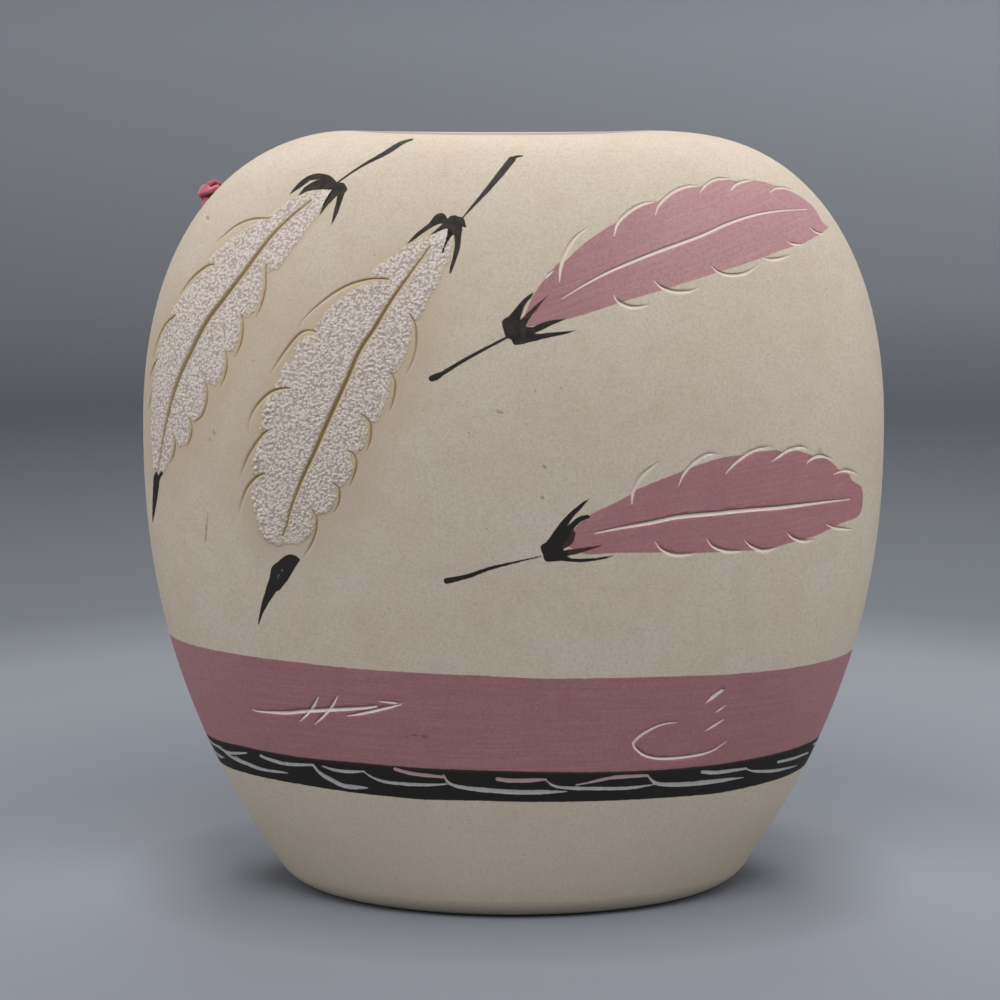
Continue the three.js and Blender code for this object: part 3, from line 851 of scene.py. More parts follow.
def inside_shape(points, shape, reach=15.0):
    """Signed distance in millimetres to a closed outline on the skin, positive inside."""
    flat, corners = unrolled(points), unrolled(shape)
    signed = np.full(len(points), -float(reach))
    near = np.flatnonzero(
        np.all((flat > corners.min(0) - reach) & (flat < corners.max(0) + reach), axis=1)
        & (points[:, 1] < 5)
    )
    start, end = corners, np.roll(corners, -1, axis=0)
    for block in np.array_split(near, max(1, len(near) // 4000)):
        p = flat[block][:, None, :]
        span = end - start
        length = np.maximum((span * span).sum(-1), 1e-12)
        along = np.clip(((p - start) * span).sum(-1) / length, 0, 1)
        distance = np.linalg.norm(p - start - along[..., None] * span, axis=-1).min(axis=1)
        crosses = (start[:, 1] > p[..., 1]) != (end[:, 1] > p[..., 1])
        rise = np.where(span[:, 1] == 0, 1e-12, span[:, 1])
        left = p[..., 0] < start[:, 0] + (p[..., 1] - start[:, 1]) * span[:, 0] / rise
        odd = (crosses & left).sum(axis=1) % 2 == 1
        signed[block] = np.where(odd, distance, -distance)
    return np.clip(signed, -reach, reach)


def within(points, shapes, reach):
    return np.max([inside_shape(points, shape, reach) for shape in shapes], axis=0)


GOUGE_DEPTH = 0.8
SCRAPE_DEPTH = 0.12
body_gouges = left_gouges + middle_gouges + upper_gouges + lower_gouges + sign_gouges
black_lines = left_black + middle_black + upper_black + lower_black
black_shapes = [left_calyx, left_tip, middle_calyx, middle_tip, upper_calyx, lower_calyx]
print(len(body_gouges), "gouges and", len(black_lines), "black stems")

# %% [markdown]
# ## The cast body
# The wall is one closed skin: underside, foot ring, outside, rolled lip, inside, floor. It
# starts as a cylinder whose height counts the rows of the profile. Faces near a drawn line
# are subdivided again and again, so that a gouge 1.2 mm wide has real depth without a fine
# mesh everywhere. Only then is each vertex moved from the cylinder to its place on the
# pot, and sunk where the tool passed. A lathe would be quicker, but gives round sections.

# %% Profile of the wall
COLUMNS = 112
FLOOR_THICKNESS = 7.0
FLOOR_FILLET = 8.0
FOOT_CORNER = 6.0
FOOT_RING_WIDTH = 7.0
FOOT_RECESS = 1.5
RECESS_DRAFT = 1.5


def foot_oval(angle, inset, z):
    wide, deep, _, _ = section(climb_at(z))
    return np.stack([(wide - inset) * np.cos(angle), (deep - inset) * np.sin(angle), z], axis=-1)


def recess_draft(angle, t):
    inset = FOOT_CORNER + FOOT_RING_WIDTH + RECESS_DRAFT * (1 - t)
    return foot_oval(angle, inset, FOOT_RECESS * (1 - t))


def foot_ring(angle, t):
    return foot_oval(angle, FOOT_CORNER + FOOT_RING_WIDTH * (1 - t), 0 * t)


def foot_corner(angle, t):
    turn = t * math.pi / 2
    return foot_oval(angle, FOOT_CORNER * (1 - np.sin(turn)), FOOT_CORNER * (1 - np.cos(turn)))


CORNER_CLIMB = float(climb_at(FOOT_CORNER))
FILLET_CLIMB = float(climb_at(FLOOR_THICKNESS + FLOOR_FILLET - WALL / 2))


def flare(angle, t):
    return skin(angle, CORNER_CLIMB + (1 - CORNER_CLIMB) * t)


def shoulder(angle, t):
    return skin(angle, 1 + t)


def lip(angle, t):
    turn = t * math.pi
    inward = unit(np.stack(
        [-np.cos(angle) / MOUTH_HALF[0], -np.sin(angle) / MOUTH_HALF[1], 0 * t], axis=-1))
    point = skin(angle, np.full_like(t, 2.0), np.full_like(t, -WALL / 2))
    point = point + inward * (WALL / 2 * np.sin(turn))[..., None]
    point[..., 2] += WALL / 2 * np.cos(turn)
    return point


def inner_wall(angle, t):
    climb = 2 + (FILLET_CLIMB - 2) * t
    return skin(angle, climb, np.full_like(t, -WALL))


def floor_fillet(angle, t):
    turn = t * math.pi / 2
    point = inner_wall(angle, np.ones_like(t))
    inward = unit(np.stack([-point[..., 0], -point[..., 1], 0 * t], axis=-1))
    out = point + inward * (FLOOR_FILLET * (1 - np.cos(turn)))[..., None]
    out[..., 2] = FLOOR_THICKNESS + (point[..., 2] - FLOOR_THICKNESS) * (1 - np.sin(turn))
    return out


SPANS = [
    (recess_draft, 1), (foot_ring, 2), (foot_corner, 6), (flare, 25), (shoulder, 28),
    (lip, 12), (inner_wall, 32), (floor_fillet, 6),
]
ROWS = sum(rows for _, rows in SPANS)
OUTSIDE_START = sum(rows for _, rows in SPANS[:2])
OUTSIDE_END = sum(rows for _, rows in SPANS[:5])
half_way = 0.5 * ANGLES / (2 * math.pi) + 0.5 * GIRTH / GIRTH[-1]


def on_profile(turn, row):
    """Points of the wall for a turn round the pot (0 to 1) and a row of the profile."""
    angle = np.interp(np.mod(turn, 1), half_way, ANGLES)
    point = np.zeros((len(row), 3))
    first = 0
    for shape, rows in SPANS:
        here = (row >= first) & (row <= first + rows)
        point[here] = shape(angle[here], (row[here] - first) / rows)
        first += rows
    return point


print(COLUMNS, "columns,", ROWS, "rows")

# %% Cylinder with the profile's rows
bpy.ops.object.select_all(action="DESELECT")
bpy.ops.mesh.primitive_cylinder_add(
    vertices=COLUMNS, radius=1, depth=ROWS, location=(0, 0, ROWS / 2), end_fill_type="TRIFAN"
)
body = bpy.context.object
body.name = "cast_body"
bpy.ops.object.transform_apply(location=True, rotation=True, scale=True)


def cut_upright_edges(piece, cuts):
    edit(piece, "EDGE")
    bpy.ops.mesh.select_all(action="DESELECT")
    mesh = bmesh.from_edit_mesh(piece.data)
    for edge in mesh.edges:
        a, b = (vertex.co for vertex in edge.verts)
        edge.select_set(abs(a.z - b.z) > 0.01)
    bmesh.update_edit_mesh(piece.data)
    bpy.ops.mesh.subdivide(number_cuts=cuts)
    bpy.ops.object.mode_set(mode="OBJECT")


cut_upright_edges(body, 1)
cut_upright_edges(body, ROWS // 2 - 1)
print(len(body.data.polygons), "faces before refining")

# %% Refine near the drawn lines
def tree_of(strokes, spacing=0.4):
    samples = []
    for path, half in strokes:
        run = run_length(path)
        places = np.linspace(0, run[-1], max(2, int(run[-1] / spacing)))
        samples.append(np.stack(
            [np.interp(places, run, path[:, k]) for k in range(3)]
            + [np.interp(places, run, half)], axis=1))
    samples = np.vstack(samples)
    tree = KDTree(len(samples))
    for k, row in enumerate(samples):
        tree.insert(row[:3], k)
    tree.balance()
    return tree, samples[:, 3]


def edge_of(shape):
    return np.vstack([shape, shape[:1]]), np.zeros(len(shape) + 1)


fine_lines = tree_of(body_gouges + black_lines + scrapes + tip_scratches
                     + [edge_of(shape) for shape in black_shapes])
edge_lines = tree_of(back_scrapes + smudges
                     + [edge_of(shape) for shape in (upper_outline, lower_outline, thin_slip)])
FINE_REACH = (5.0, 2.6, 1.2, 0.35)
EDGE_REACH = (4.5, 2.2, 0.9, -1)


def turn_and_row(coordinates):
    turn = np.arctan2(coordinates[:, 1], coordinates[:, 0]) / (2 * math.pi)
    return turn, coordinates[:, 2]


def line_gap(place, lines):
    tree, halves = lines
    _, index, distance = tree.find(place)
    return distance - halves[index]


for fine, edge_only in zip(FINE_REACH, EDGE_REACH):
    edit(body, "FACE")
    bpy.ops.mesh.select_all(action="DESELECT")
    mesh = bmesh.from_edit_mesh(body.data)
    middles = np.array([face.calc_center_median() for face in mesh.faces])
    places = on_profile(*turn_and_row(middles))
    for face, place, middle in zip(mesh.faces, places, middles):
        if OUTSIDE_START <= middle[2] <= OUTSIDE_END:
            face.select_set(
                line_gap(place, fine_lines) < fine
                or (edge_only > 0 and line_gap(place, edge_lines) < edge_only))
    bmesh.update_edit_mesh(body.data)
    bpy.ops.mesh.subdivide(number_cuts=1)
    bpy.ops.object.mode_set(mode="OBJECT")
    print(len(body.data.polygons), "faces")

# %% Move the cylinder's vertices to the pot and sink the gouges
def coordinates_of(mesh):
    flat = np.empty(len(mesh.vertices) * 3)
    mesh.vertices.foreach_get("co", flat)
    return flat.reshape(-1, 3)


def set_coordinates(mesh, points):
    mesh.vertices.foreach_set("co", points.ravel())
    mesh.update()


cylinder = coordinates_of(body.data)
turn, row = turn_and_row(cylinder)
points = on_profile(turn, np.clip(row, 0, ROWS))
axis = np.hypot(cylinder[:, 0], cylinder[:, 1]) < 0.01
points[axis & (row < 1)] = (0, 0, FOOT_RECESS)
points[axis & (row > ROWS - 1)] = (0, 0, FLOOR_THICKNESS)
painted_side = ~axis & (row > OUTSIDE_START) & (row < OUTSIDE_END)
outer = np.flatnonzero(painted_side)
angle, climb = unskin(points[outer])
_, cut, _ = beside(points[outer], body_gouges)
_, scraped, _ = beside(points[outer], scrapes + back_scrapes)
sink = GOUGE_DEPTH * cut + SCRAPE_DEPTH * scraped
points[outer] -= skin_normal(angle, climb) * sink[:, None]
set_coordinates(body.data, points * MM)
tidy_normals(body)
print("deepest gouge", round(sink.max(), 2), "mm")

# %% [markdown]
# ## The lace holes
# Two 5 mm holes are drilled through the soft wall, square to it. A boolean with two
# cylinders does the same, and leaves the rest of the mesh alone.

# %% Drill
for side in (-1, 1):
    middle = at_lace(side * IN_HOLE, -WALL / 2)
    drill_axis = skin_normal(LACE_TURN - side * IN_HOLE / GIRTH_PER_RADIAN, LACE_CLIMB)
    bpy.ops.object.select_all(action="DESELECT")
    bpy.ops.mesh.primitive_cylinder_add(
        vertices=32, radius=HOLE_DIAMETER / 2 * MM, depth=4 * WALL * MM,
        location=[float(v) * MM for v in middle],
        rotation=Vector(drill_axis).to_track_quat("Z", "Y").to_euler(),
    )
    drill = bpy.context.object
    bpy.ops.object.select_all(action="DESELECT")
    body.select_set(True)
    bpy.context.view_layer.objects.active = body
    cutter = body.modifiers.new("drill", "BOOLEAN")
    cutter.object = drill
    cutter.operation = "DIFFERENCE"
    cutter.solver = "EXACT"
    bpy.ops.object.modifier_apply(modifier=cutter.name)
    bpy.data.objects.remove(drill, do_unlink=True)
print(len(body.data.vertices), "vertices after drilling")

# %% Paint distances of the body
BELOW_ANY_GOUGE = 1.2
LIP_ZONE = 7


def write_field(mesh, name, values):
    layer = mesh.attributes.new(name, "FLOAT", "POINT")
    layer.data.foreach_set("value", np.asarray(values, np.float32))


surface = coordinates_of(body.data) / MM
angle, climb = unskin(surface)
on_skin = skin(angle, climb)
depth_below = np.linalg.norm(surface - on_skin, axis=1)
outside = (depth_below < BELOW_ANY_GOUGE) & (surface[:, 2] > 0.5)

white_gap = within(on_skin, [left_outline, middle_outline], 15)
mauve = within(on_skin, [upper_outline, lower_outline], 3)
top, middle_edge, low = (
    band_edge(on_skin, heights) for heights in (BAND_TOP, BAND_MIDDLE, BAND_LOW))
z = on_skin[:, 2]
black, _, _ = beside(on_skin, black_lines)
black = np.maximum(black, within(on_skin, black_shapes, 2))
thin, _, _ = beside(on_skin, thin_black, 1.5)
cut, _, cut_side = beside(on_skin, body_gouges)
scrape, _, _ = beside(on_skin, scrapes + back_scrapes + tip_scratches)
smudge, _, _ = beside(on_skin, smudges, 1.5)
brush_tilt = np.radians(np.where(z > 155, 20.0, np.where(z > 95, 7.0, 0.0)))
mouth_wide, mouth_deep, _, _ = section(2.0)
opening = 1 - np.hypot((surface[:, 0] - MOUTH_OFFSET) / mouth_wide, surface[:, 1] / mouth_deep)
lip_edge = np.where(surface[:, 2] > HEIGHT - LIP_ZONE, 20 * opening + 0.5, -3)

for name, values, elsewhere in (
    ("mauve_mm", mauve, -3), ("black_mm", black, -3), ("thin_black_mm", thin, -2),
    ("below_top_mm", top - z, -3), ("above_middle_mm", z - middle_edge, -3),
    ("above_low_mm", z - low, -3),
    ("gouge_mm", cut, -1), ("gouge_side", cut_side, 0), ("scrape_mm", scrape, -1),
    ("smudge_mm", smudge, -2), ("from_white_mm", -white_gap, 15),
    ("thin_slip_mm", within(on_skin, [thin_slip], 3), -3),
    ("brush_mm", z * np.cos(brush_tilt) - on_skin[:, 0] * np.sin(brush_tilt), 0),
):
    write_field(body.data, name, np.where(outside, values, elsewhere))
write_field(body.data, "lip_mm", lip_edge)
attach(body, "root")
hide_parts("vase_body")
print("painted vertices:", int((mauve > 0).sum()), "mauve,", int((black > 0).sum()), "black")

# %% [markdown]
# ## The raised white feathers
# Thick white slip is dabbed on with a sponge or stiff brush, which leaves a crust of
# granules about a millimetre across. It stands 0.1 to 0.9 mm proud, so it is a mesh of its
# own: a fine grid, trimmed to the feather's outline, given a thickness by extrusion and
# laid on the skin. Its edge and the rib and barbs cut through it sink below the clay.

# %% White slip maker
GRID = 0.28
GRANULE = 0.78
LUMP = 1.2
SUNK_EDGE = 0.3
SLIP_COAT = 0.1
SLIP_ROOT = 1.3


def domes(places, size):
    """Height of closely packed round granules, 0 in the valleys between them to 1."""
    gaps = [noise.voronoi(Vector(place) / size)[0][0] for place in places]
    return np.clip(1 - (np.array(gaps) / 0.62) ** 2, 0, 1)


def wavy(places, size):
    return np.array([noise.noise(Vector(place) / size) for place in places])


def from_unrolled(flat):
    angle = np.interp(flat[:, 0], GIRTH, ANGLES)
    return angle, np.interp(flat[:, 1], RISE, CLIMBS)


def lay_white_slip(name, shape, gouges, black_strokes, black_areas, lumpy, calm):
    """lumpy is the line along which the slip lies in coarse lumps, calm the points where it
    was smoothed, with the radius of each."""
    corners = unrolled(shape)
    low, high = corners.min(0) - 1, corners.max(0) + 1
    counts = np.ceil((high - low) / GRID).astype(int)
    bpy.ops.object.select_all(action="DESELECT")
    bpy.ops.mesh.primitive_grid_add(
        x_subdivisions=int(counts[0]), y_subdivisions=int(counts[1]), size=1,
        location=(0, 0, 0),
    )
    piece = bpy.context.object
    piece.name = name
    grid = coordinates_of(piece.data)
    grid[:, :2] = low + (grid[:, :2] + 0.5) * (high - low)
    set_coordinates(piece.data, grid)
    gap = inside_shape(skin(*from_unrolled(grid[:, :2])), shape, 3)

    edit(piece)
    bpy.ops.mesh.select_all(action="DESELECT")
    mesh = bmesh.from_edit_mesh(piece.data)
    for vertex, distance in zip(mesh.verts, gap):
        vertex.select_set(distance < -0.5)
    mesh.select_flush_mode()
    bmesh.update_edit_mesh(piece.data)
    bpy.ops.mesh.delete(type="VERT")
    bpy.ops.mesh.select_all(action="SELECT")
    bpy.ops.mesh.extrude_region_move(TRANSFORM_OT_translate={"value": (0, 0, 1)})
    bpy.ops.object.mode_set(mode="OBJECT")

    grid = coordinates_of(piece.data)
    angle, climb = from_unrolled(grid[:, :2])
    base = skin(angle, climb)
    gap = inside_shape(base, shape, 3)
    near_cut, cut, _ = beside(base, gouges, 1.5)
    black_gap, _, _ = beside(base, black_strokes)
    black_gap = np.maximum(black_gap, within(base, black_areas, 2))
    coarse_share = np.clip(1.2 + beside(base, [(lumpy, np.zeros(len(lumpy)))], 8)[0] / 5, 0, 1)
    calm_share = np.ones(len(base))
    for place, radius in calm:
        away = np.linalg.norm(base - on_pot([place])[0], axis=1) / radius
        calm_share = np.minimum(calm_share, 0.25 + 0.75 * np.clip(away - 0.4, 0, 1))
    patchy = wavy(base, 7.0)
    granules = domes(base, GRANULE) + 0.1 * wavy(base, 0.5)
    lumps = domes(base, LUMP) + 0.15 * wavy(base, 0.5)
    coarse_share = np.clip(coarse_share + 0.5 * patchy, 0, 1)
    grain = granules * (1 - coarse_share) + lumps * coarse_share
    amount = (0.3 + 0.38 * coarse_share + 0.15 * patchy) * calm_share
    ragged_gap = gap + 0.2 + 0.5 * wavy(base, 0.8) + 0.3 * wavy(base, 1.9) + 0.1 * granules
    amount *= np.clip(0.35 + ragged_gap / 2.0, 0, 1)
    rise = np.clip((ragged_gap + 0.3) / 0.6, 0, 1)
    crust = rise * (SUNK_EDGE + SLIP_COAT + amount * grain) - SUNK_EDGE
    groove = np.clip((near_cut + 0.1) / 0.2, 0, 1)
    lift = crust * (1 - groove) - (GOUGE_DEPTH * cut + SUNK_EDGE) * groove
    lift = np.where(grid[:, 2] > 0.5, lift, -SLIP_ROOT)
    set_coordinates(piece.data, skin(angle, climb, lift) * MM)
    write_field(piece.data, "black_mm", black_gap)
    write_field(piece.data, "grain", 0.5 + (grain - 0.5) * calm_share)
    write_field(piece.data, "edge_mm", np.minimum(ragged_gap, -near_cut))
    write_field(piece.data, "fade_mm", inside_shape(base, thin_slip, 8))
    tidy_normals(piece)
    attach(piece, "root")
    print(name, len(piece.data.polygons), "faces")
    return piece


white_left = lay_white_slip(
    "white_feather_left", left_outline, left_gouges, left_black, [left_calyx, left_tip],
    on_pot([(151, 425), (151, 445), (153, 468)]), [((325, 193), 1.5)])
white_middle = lay_white_slip(
    "white_feather_middle", middle_outline, middle_gouges, middle_black, [middle_calyx],
    on_pot(smooth_line([(296, 342), (278, 375), (264, 409), (254, 454), (252, 492), (262, 534)],
                       4.0)),
    [((443, 233), 2.2), ((294, 544), 3.5)])

# %% [markdown]
# ## Materials
# All colours are written as the surface would look in even light, except where a comment
# says that shade or light is painted in. Patterns are sized from millimetres: a mapping turns
# object metres into millimetres, and a noise scale is then one over its grain size.

# %% Colour and node helpers
def paint(code):
    """An sRGB hex colour as the linear colour that the shader works in."""
    parts = [int(code[k:k + 2], 16) / 255 for k in (1, 3, 5)]
    return (*[c / 12.92 if c <= 0.04045 else ((c + 0.055) / 1.055) ** 2.4 for c in parts], 1.0)


def feed(tree, node, inputs):
    """Gives a node its inputs, as values, hex colours or links."""
    for key, value in inputs.items():
        if isinstance(value, bpy.types.NodeSocket):
            tree.links.new(value, node.inputs[key])
        else:
            node.inputs[key].default_value = paint(value) if isinstance(value, str) else value


def add(tree, kind, inputs=(), output=0, **settings):
    """One node with its settings and inputs. Gives one of its outputs, or the node itself
    where output is None."""
    node = tree.nodes.new("ShaderNode" + kind)
    for key, value in settings.items():
        setattr(node, key, value)
    feed(tree, node, dict(inputs))
    return node if output is None else node.outputs[output]


def new_material(name, *fields):
    """A material, its tree, its shader, places in mm and the vertex fields that it reads."""
    material = bpy.data.materials.new(name)
    material.use_nodes = True
    tree = material.node_tree
    tree.nodes.clear()
    shader = add(tree, "BsdfPrincipled", output=None)
    add(tree, "OutputMaterial", {"Surface": shader.outputs[0]}, None)
    place = add(tree, "TexCoord", output="Object")
    in_mm = add(tree, "Mapping", {0: place, 3: (1000, 1000, 1000)})
    field = {key: add(tree, "Attribute", output="Fac", attribute_name=key) for key in fields}
    print("material", name, "reads", len(field), "fields")
    return material, tree, shader, in_mm, field


def coats(tree, colour, layers):
    """Coats of colour, one over the other. Each is its colour and its share, or its colour,
    a value, and the two ends between which the share goes from 0 to 1 (or as given last)."""
    for over, share, *span in layers:
        if span:
            share = add(tree, "MapRange", {0: share, **dict(enumerate(span, 1))})
        colour = add(tree, "Mix", {0: share, 6: colour, 7: over}, 2, data_type="RGBA")
    return colour


def speckle(tree, in_mm, spacing, size, share, strength):
    """Round specks of about this size in mm, in a share of the cells of this spacing."""
    cells = add(tree, "TexVoronoi", {"Vector": in_mm, "Scale": 1 / spacing}, None)
    chosen = add(tree, "MapRange", {0: cells.outputs["Color"], 1: 1 - share, 2: 1.001 - share})
    dot = add(tree, "MapRange", {
        0: cells.outputs["Distance"], 1: 0.35 * size / spacing, 2: 0.6 * size / spacing,
        3: strength, 4: 0.0,
    })
    return add(tree, "Math", {0: chosen, 1: dot}, operation="MULTIPLY")


def dress(material, *pieces):
    for piece in pieces:
        piece.data.materials.clear()
        piece.data.materials.append(material)


# %% [markdown]
# ### Cream bisque with slip painting
# The body is low-fired earthenware, left unglazed: a dry cream clay that scatters light
# softly, with pinholes, a few iron specks and a tan bloom where it drew moisture from the
# thick white slip. Mauve slip has faint brush streaks, black slip is a little smoother, and
# a gouge shows the paler clay under the mauve and a stained one beside the white. Shade and
# light are also painted in: the clay darker towards the foot, a sheen on the upper mauve
# feather and on the black high up, and a dark upper wall and light lower lip in each gouge.

# %% Bare clay
clay, tree, shader, in_mm, field = new_material(
    "cream_bisque_earthenware",
    "mauve_mm", "black_mm", "thin_black_mm", "below_top_mm", "above_middle_mm", "above_low_mm",
    "gouge_mm", "gouge_side", "scrape_mm", "smudge_mm", "from_white_mm", "thin_slip_mm",
    "brush_mm", "lip_mm",
)
x_mm, _, height_mm = add(tree, "SeparateXYZ", {0: in_mm}, None).outputs
off_middle = add(tree, "Math", {0: x_mm}, operation="ABSOLUTE")
blotch, cloud, ragged, mottle, grit = (
    add(tree, "TexNoise", {"Vector": in_mm, "Scale": 1 / size, "Detail": detail})
    for size, detail in ((24, 3.0), (8, 4.0), (2.2, 3.0), (1.1, 4.0), (0.45, 2.0))
)

bloom_reach = add(tree, "Math", {0: cloud, 1: 20.0, 2: 6.0}, operation="MULTIPLY_ADD")
bloom = add(tree, "MapRange", {
    0: field["from_white_mm"], 1: 0.0, 2: bloom_reach, 3: 0.65, 4: 0.0,
}, interpolation_type="SMOOTHSTEP")
paler_up = add(tree, "MapRange", {0: height_mm, 1: 175, 2: 205, 3: 1.0, 4: 0.25})
bloom = add(tree, "Math", {0: bloom, 1: paler_up}, operation="MULTIPLY")
cream = coats(tree, "#CCC0AF", [
    ("#C8BAA6", blotch, 0.35, 0.7),
    # painted shade: the clay is coloured darker towards the foot
    ("#AEA494", height_mm, 60, 0, 0, 0.75),
    ("#BDAC9B", cloud, 0.5, 0.75, 0, 0.35),
    ("#B8AA98", mottle, 0.45, 0.7, 0, 0.5),
    ("#A6978A", grit, 0.5, 0.75, 0, 0.5),
    ("#D6CBBE", grit, 0.42, 0.25, 0, 0.5),
    (coats(tree, "#B7A998", [("#BBA88C", height_mm, 110, 150)]), bloom),
    ("#BDA778", field["from_white_mm"], 0.2, 2.2, 0.3, 0),
    ("#6E5A48", speckle(tree, in_mm, 5.0, 0.5, 0.3, 0.6)),
    ("#8A7460", speckle(tree, in_mm, 2.2, 0.4, 0.3, 0.35)),
    ("#C0B1A2", field["thin_slip_mm"], -2.0, 1.5, 0, 0.3),
])
print("bare clay made of", len(tree.nodes), "nodes")

# %% Mauve and black slip
wobble = add(tree, "Math", {0: ragged, 1: 0.34, 2: -0.17}, operation="MULTIPLY_ADD")


def painted(name, soft=0.1):
    """Where a painted shape is, with an edge that wanders a little."""
    gap = add(tree, "Math", {0: field[name], 1: wobble}, operation="ADD")
    return add(tree, "MapRange", {0: gap, 1: -soft, 2: soft})


def overlap(first, second):
    """Where both of two spans hold; each is a value with its two ends, and shares if any."""
    shares = [add(tree, "MapRange", dict(enumerate(span))) for span in (first, second)]
    return add(tree, "Math", {0: shares[0], 1: shares[1]}, operation="MULTIPLY")


over_middle = painted("above_middle_mm", 0.14)
mauve_band = overlap((painted("below_top_mm", 0.14),), (over_middle,))
black_band = overlap((painted("above_low_mm"),), (over_middle, 0, 1, 1, 0))
mauve_here = add(
    tree, "Math", {0: painted("mauve_mm", 0.14), 1: mauve_band}, operation="MAXIMUM")
black_here = add(tree, "Math", {0: painted("black_mm"), 1: black_band}, operation="MAXIMUM")

brush_line = add(tree, "CombineXYZ", {0: field["brush_mm"], 1: x_mm})
brush_line = add(
    tree, "VectorMath", {0: brush_line, 1: (1.3, 0.035, 0)}, operation="MULTIPLY")
streaks = add(tree, "TexNoise", {"Vector": brush_line, "Scale": 1.0, "Detail": 3.0})
streak_share = overlap((streaks, 0.42, 0.68), (cloud, 0.3, 0.65))
# The mauve is one slip. The upper feather's copy turns lighter towards the right as a painted
# sheen from the lamp above.
band_mauve, lower_mauve, upper_mauve, mauve_painted_sheen = (
    coats(tree, thick, [(thin, streak_share)]) for thick, thin in (
        ("#996A6E", "#A4777A"), ("#A37275", "#AC7F81"), ("#A27576", "#AC8183"),
        ("#B3888A", "#BC9597"))
)
mauve = coats(tree, band_mauve, [
    ("#A97D80", off_middle, 75, 105, 0, 0.8),
    (lower_mauve, height_mm, 90, 100),
    (coats(tree, upper_mauve, [(mauve_painted_sheen, x_mm, 12, 45)]), height_mm, 145, 160),
    ("#8A5F62", mottle, 0.45, 0.75, 0, 0.3),
    ("#86595D", grit, 0.5, 0.75, 0, 0.4),
    ("#BA9193", grit, 0.45, 0.25, 0, 0.4),
])
# painted light and shade: the black is lighter in patches high on the shoulder, a painted sheen,
# and darker low down, painted shade
black = coats(tree, "#211D1A", [
    ("#403A34", overlap((ragged, 0.4, 0.65), (height_mm, 145, 175, 0, 0.6))),
    ("#1C1916", height_mm, 62, 54),
    ("#3F2A2A", painted("thin_black_mm", 0.25)),
    ("#44292B", overlap((field["above_middle_mm"], -0.9, -0.3, 0, 0.8), (black_band,))),
])
stain = coats(tree, "#7C6440", [("#4E3438", x_mm, -85, -70)])
print("with the paint", len(tree.nodes), "nodes")

# %% Cut and scraped clay
# painted shade and painted highlight: each gouge is coloured darker on its upper wall and lighter
# on its lower lip, over the colour of the cut clay
lower_lip_highlight = add(tree, "MapRange", {0: field["gouge_side"], 1: 0.55, 2: 0.1})
by_the_white = coats(tree, "#8E784C", [("#C4B092", field["gouge_side"], 0.05, -0.3)])
bare = coats(tree, "#93826C", [
    ("#DDD0C2", lower_lip_highlight),
    (by_the_white, field["from_white_mm"], 1.0, 7.0, 1, 0),
    (coats(tree, "#85605E", [("#E2D2C8", lower_lip_highlight)]), mauve_here),
])
scraped = coats(tree, "#A3A19E", [
    ("#B2B0AC", mottle, 0.35, 0.7),
    ("#A98F90", overlap((field["above_middle_mm"], -3.9, -3.4), (off_middle, 45, 36))),
])
colour = coats(tree, cream, [
    (mauve, mauve_here),
    (black, black_here),
    (stain, field["smudge_mm"], -0.25, 0.25, 0, 0.6),
    (bare, field["gouge_mm"], -0.12, 0.1),
    (scraped, painted("scrape_mm", 0.08)),
    ("#A5908E", field["lip_mm"], -0.2, 0.3, 0, 0.9),
])
height = add(tree, "Math", {0: streaks, 1: mauve_here}, operation="MULTIPLY")
for texture, share in ((grit, 0.6), (mottle, 0.8)):
    height = add(tree, "Math", {0: texture, 1: share, 2: height}, operation="MULTIPLY_ADD")
feed(tree, shader, {
    "Base Color": colour,
    "Roughness": add(tree, "MapRange", {0: black_here, 3: 0.791, 4: 0.644}),
    "Specular IOR Level": 0.3,
    "Normal": add(tree, "Bump", {"Height": height, "Strength": 0.5, "Distance": 0.00008}),
})
dress(clay, body)
print("whole clay surface made of", len(tree.nodes), "nodes")

# %% [markdown]
# ### Thick white slip
# White slip is fine clay with little iron. It dries to a chalky, slightly pink white, and
# the pits between the granules are painted darker as shade, so the colour follows the grain.

# %% White slip material
white_slip, tree, shader, in_mm, field = new_material(
    "stippled_white_slip", "grain", "edge_mm", "fade_mm", "black_mm")
powder = add(tree, "TexNoise", {"Vector": in_mm, "Scale": 1 / 0.55, "Detail": 3.0})
pits = add(tree, "TexVoronoi", {"Vector": in_mm, "Scale": 1 / 0.55}, "Distance")
grainy = add(tree, "Math", {0: pits, 1: -0.7, 2: powder}, operation="MULTIPLY_ADD")
ragged_edge = add(tree, "MapRange", {0: powder, 1: 0.3, 2: 0.7, 3: -0.1, 4: 0.1})
black_edge = add(tree, "Math", {0: field["black_mm"], 1: ragged_edge}, operation="ADD")
# painted shade: the base colour is the shaded pit, and the granule tops are lighter
feed(tree, shader, {
    "Base Color": coats(tree, "#AEA298", [
        ("#DACEC4", field["grain"], 0.0, 0.5),
        ("#B0A194", powder, 0.52, 0.75, 0, 0.3),
        ("#BFAD93", field["edge_mm"], -0.1, 1.3, 0.6, 0),
        ("#B9AA99", field["fade_mm"], -6.0, 2.0, 0, 0.6),
        ("#211D1A", black_edge, -0.1, 0.1),
    ]),
    "Roughness": 0.9,
    "Specular IOR Level": 0.3,
    "Normal": add(tree, "Bump", {"Height": grainy, "Strength": 0.8, "Distance": 0.00022}),
})
dress(white_slip, white_left, white_middle)

# %% [markdown]
# ### Dyed suede
# Suede is the flesh side of split leather, buffed to a short nap. It has no gloss, its nap
# catches light at the edges as a soft sheen, and the crimson dye is paler in patches where it
# is rubbed.

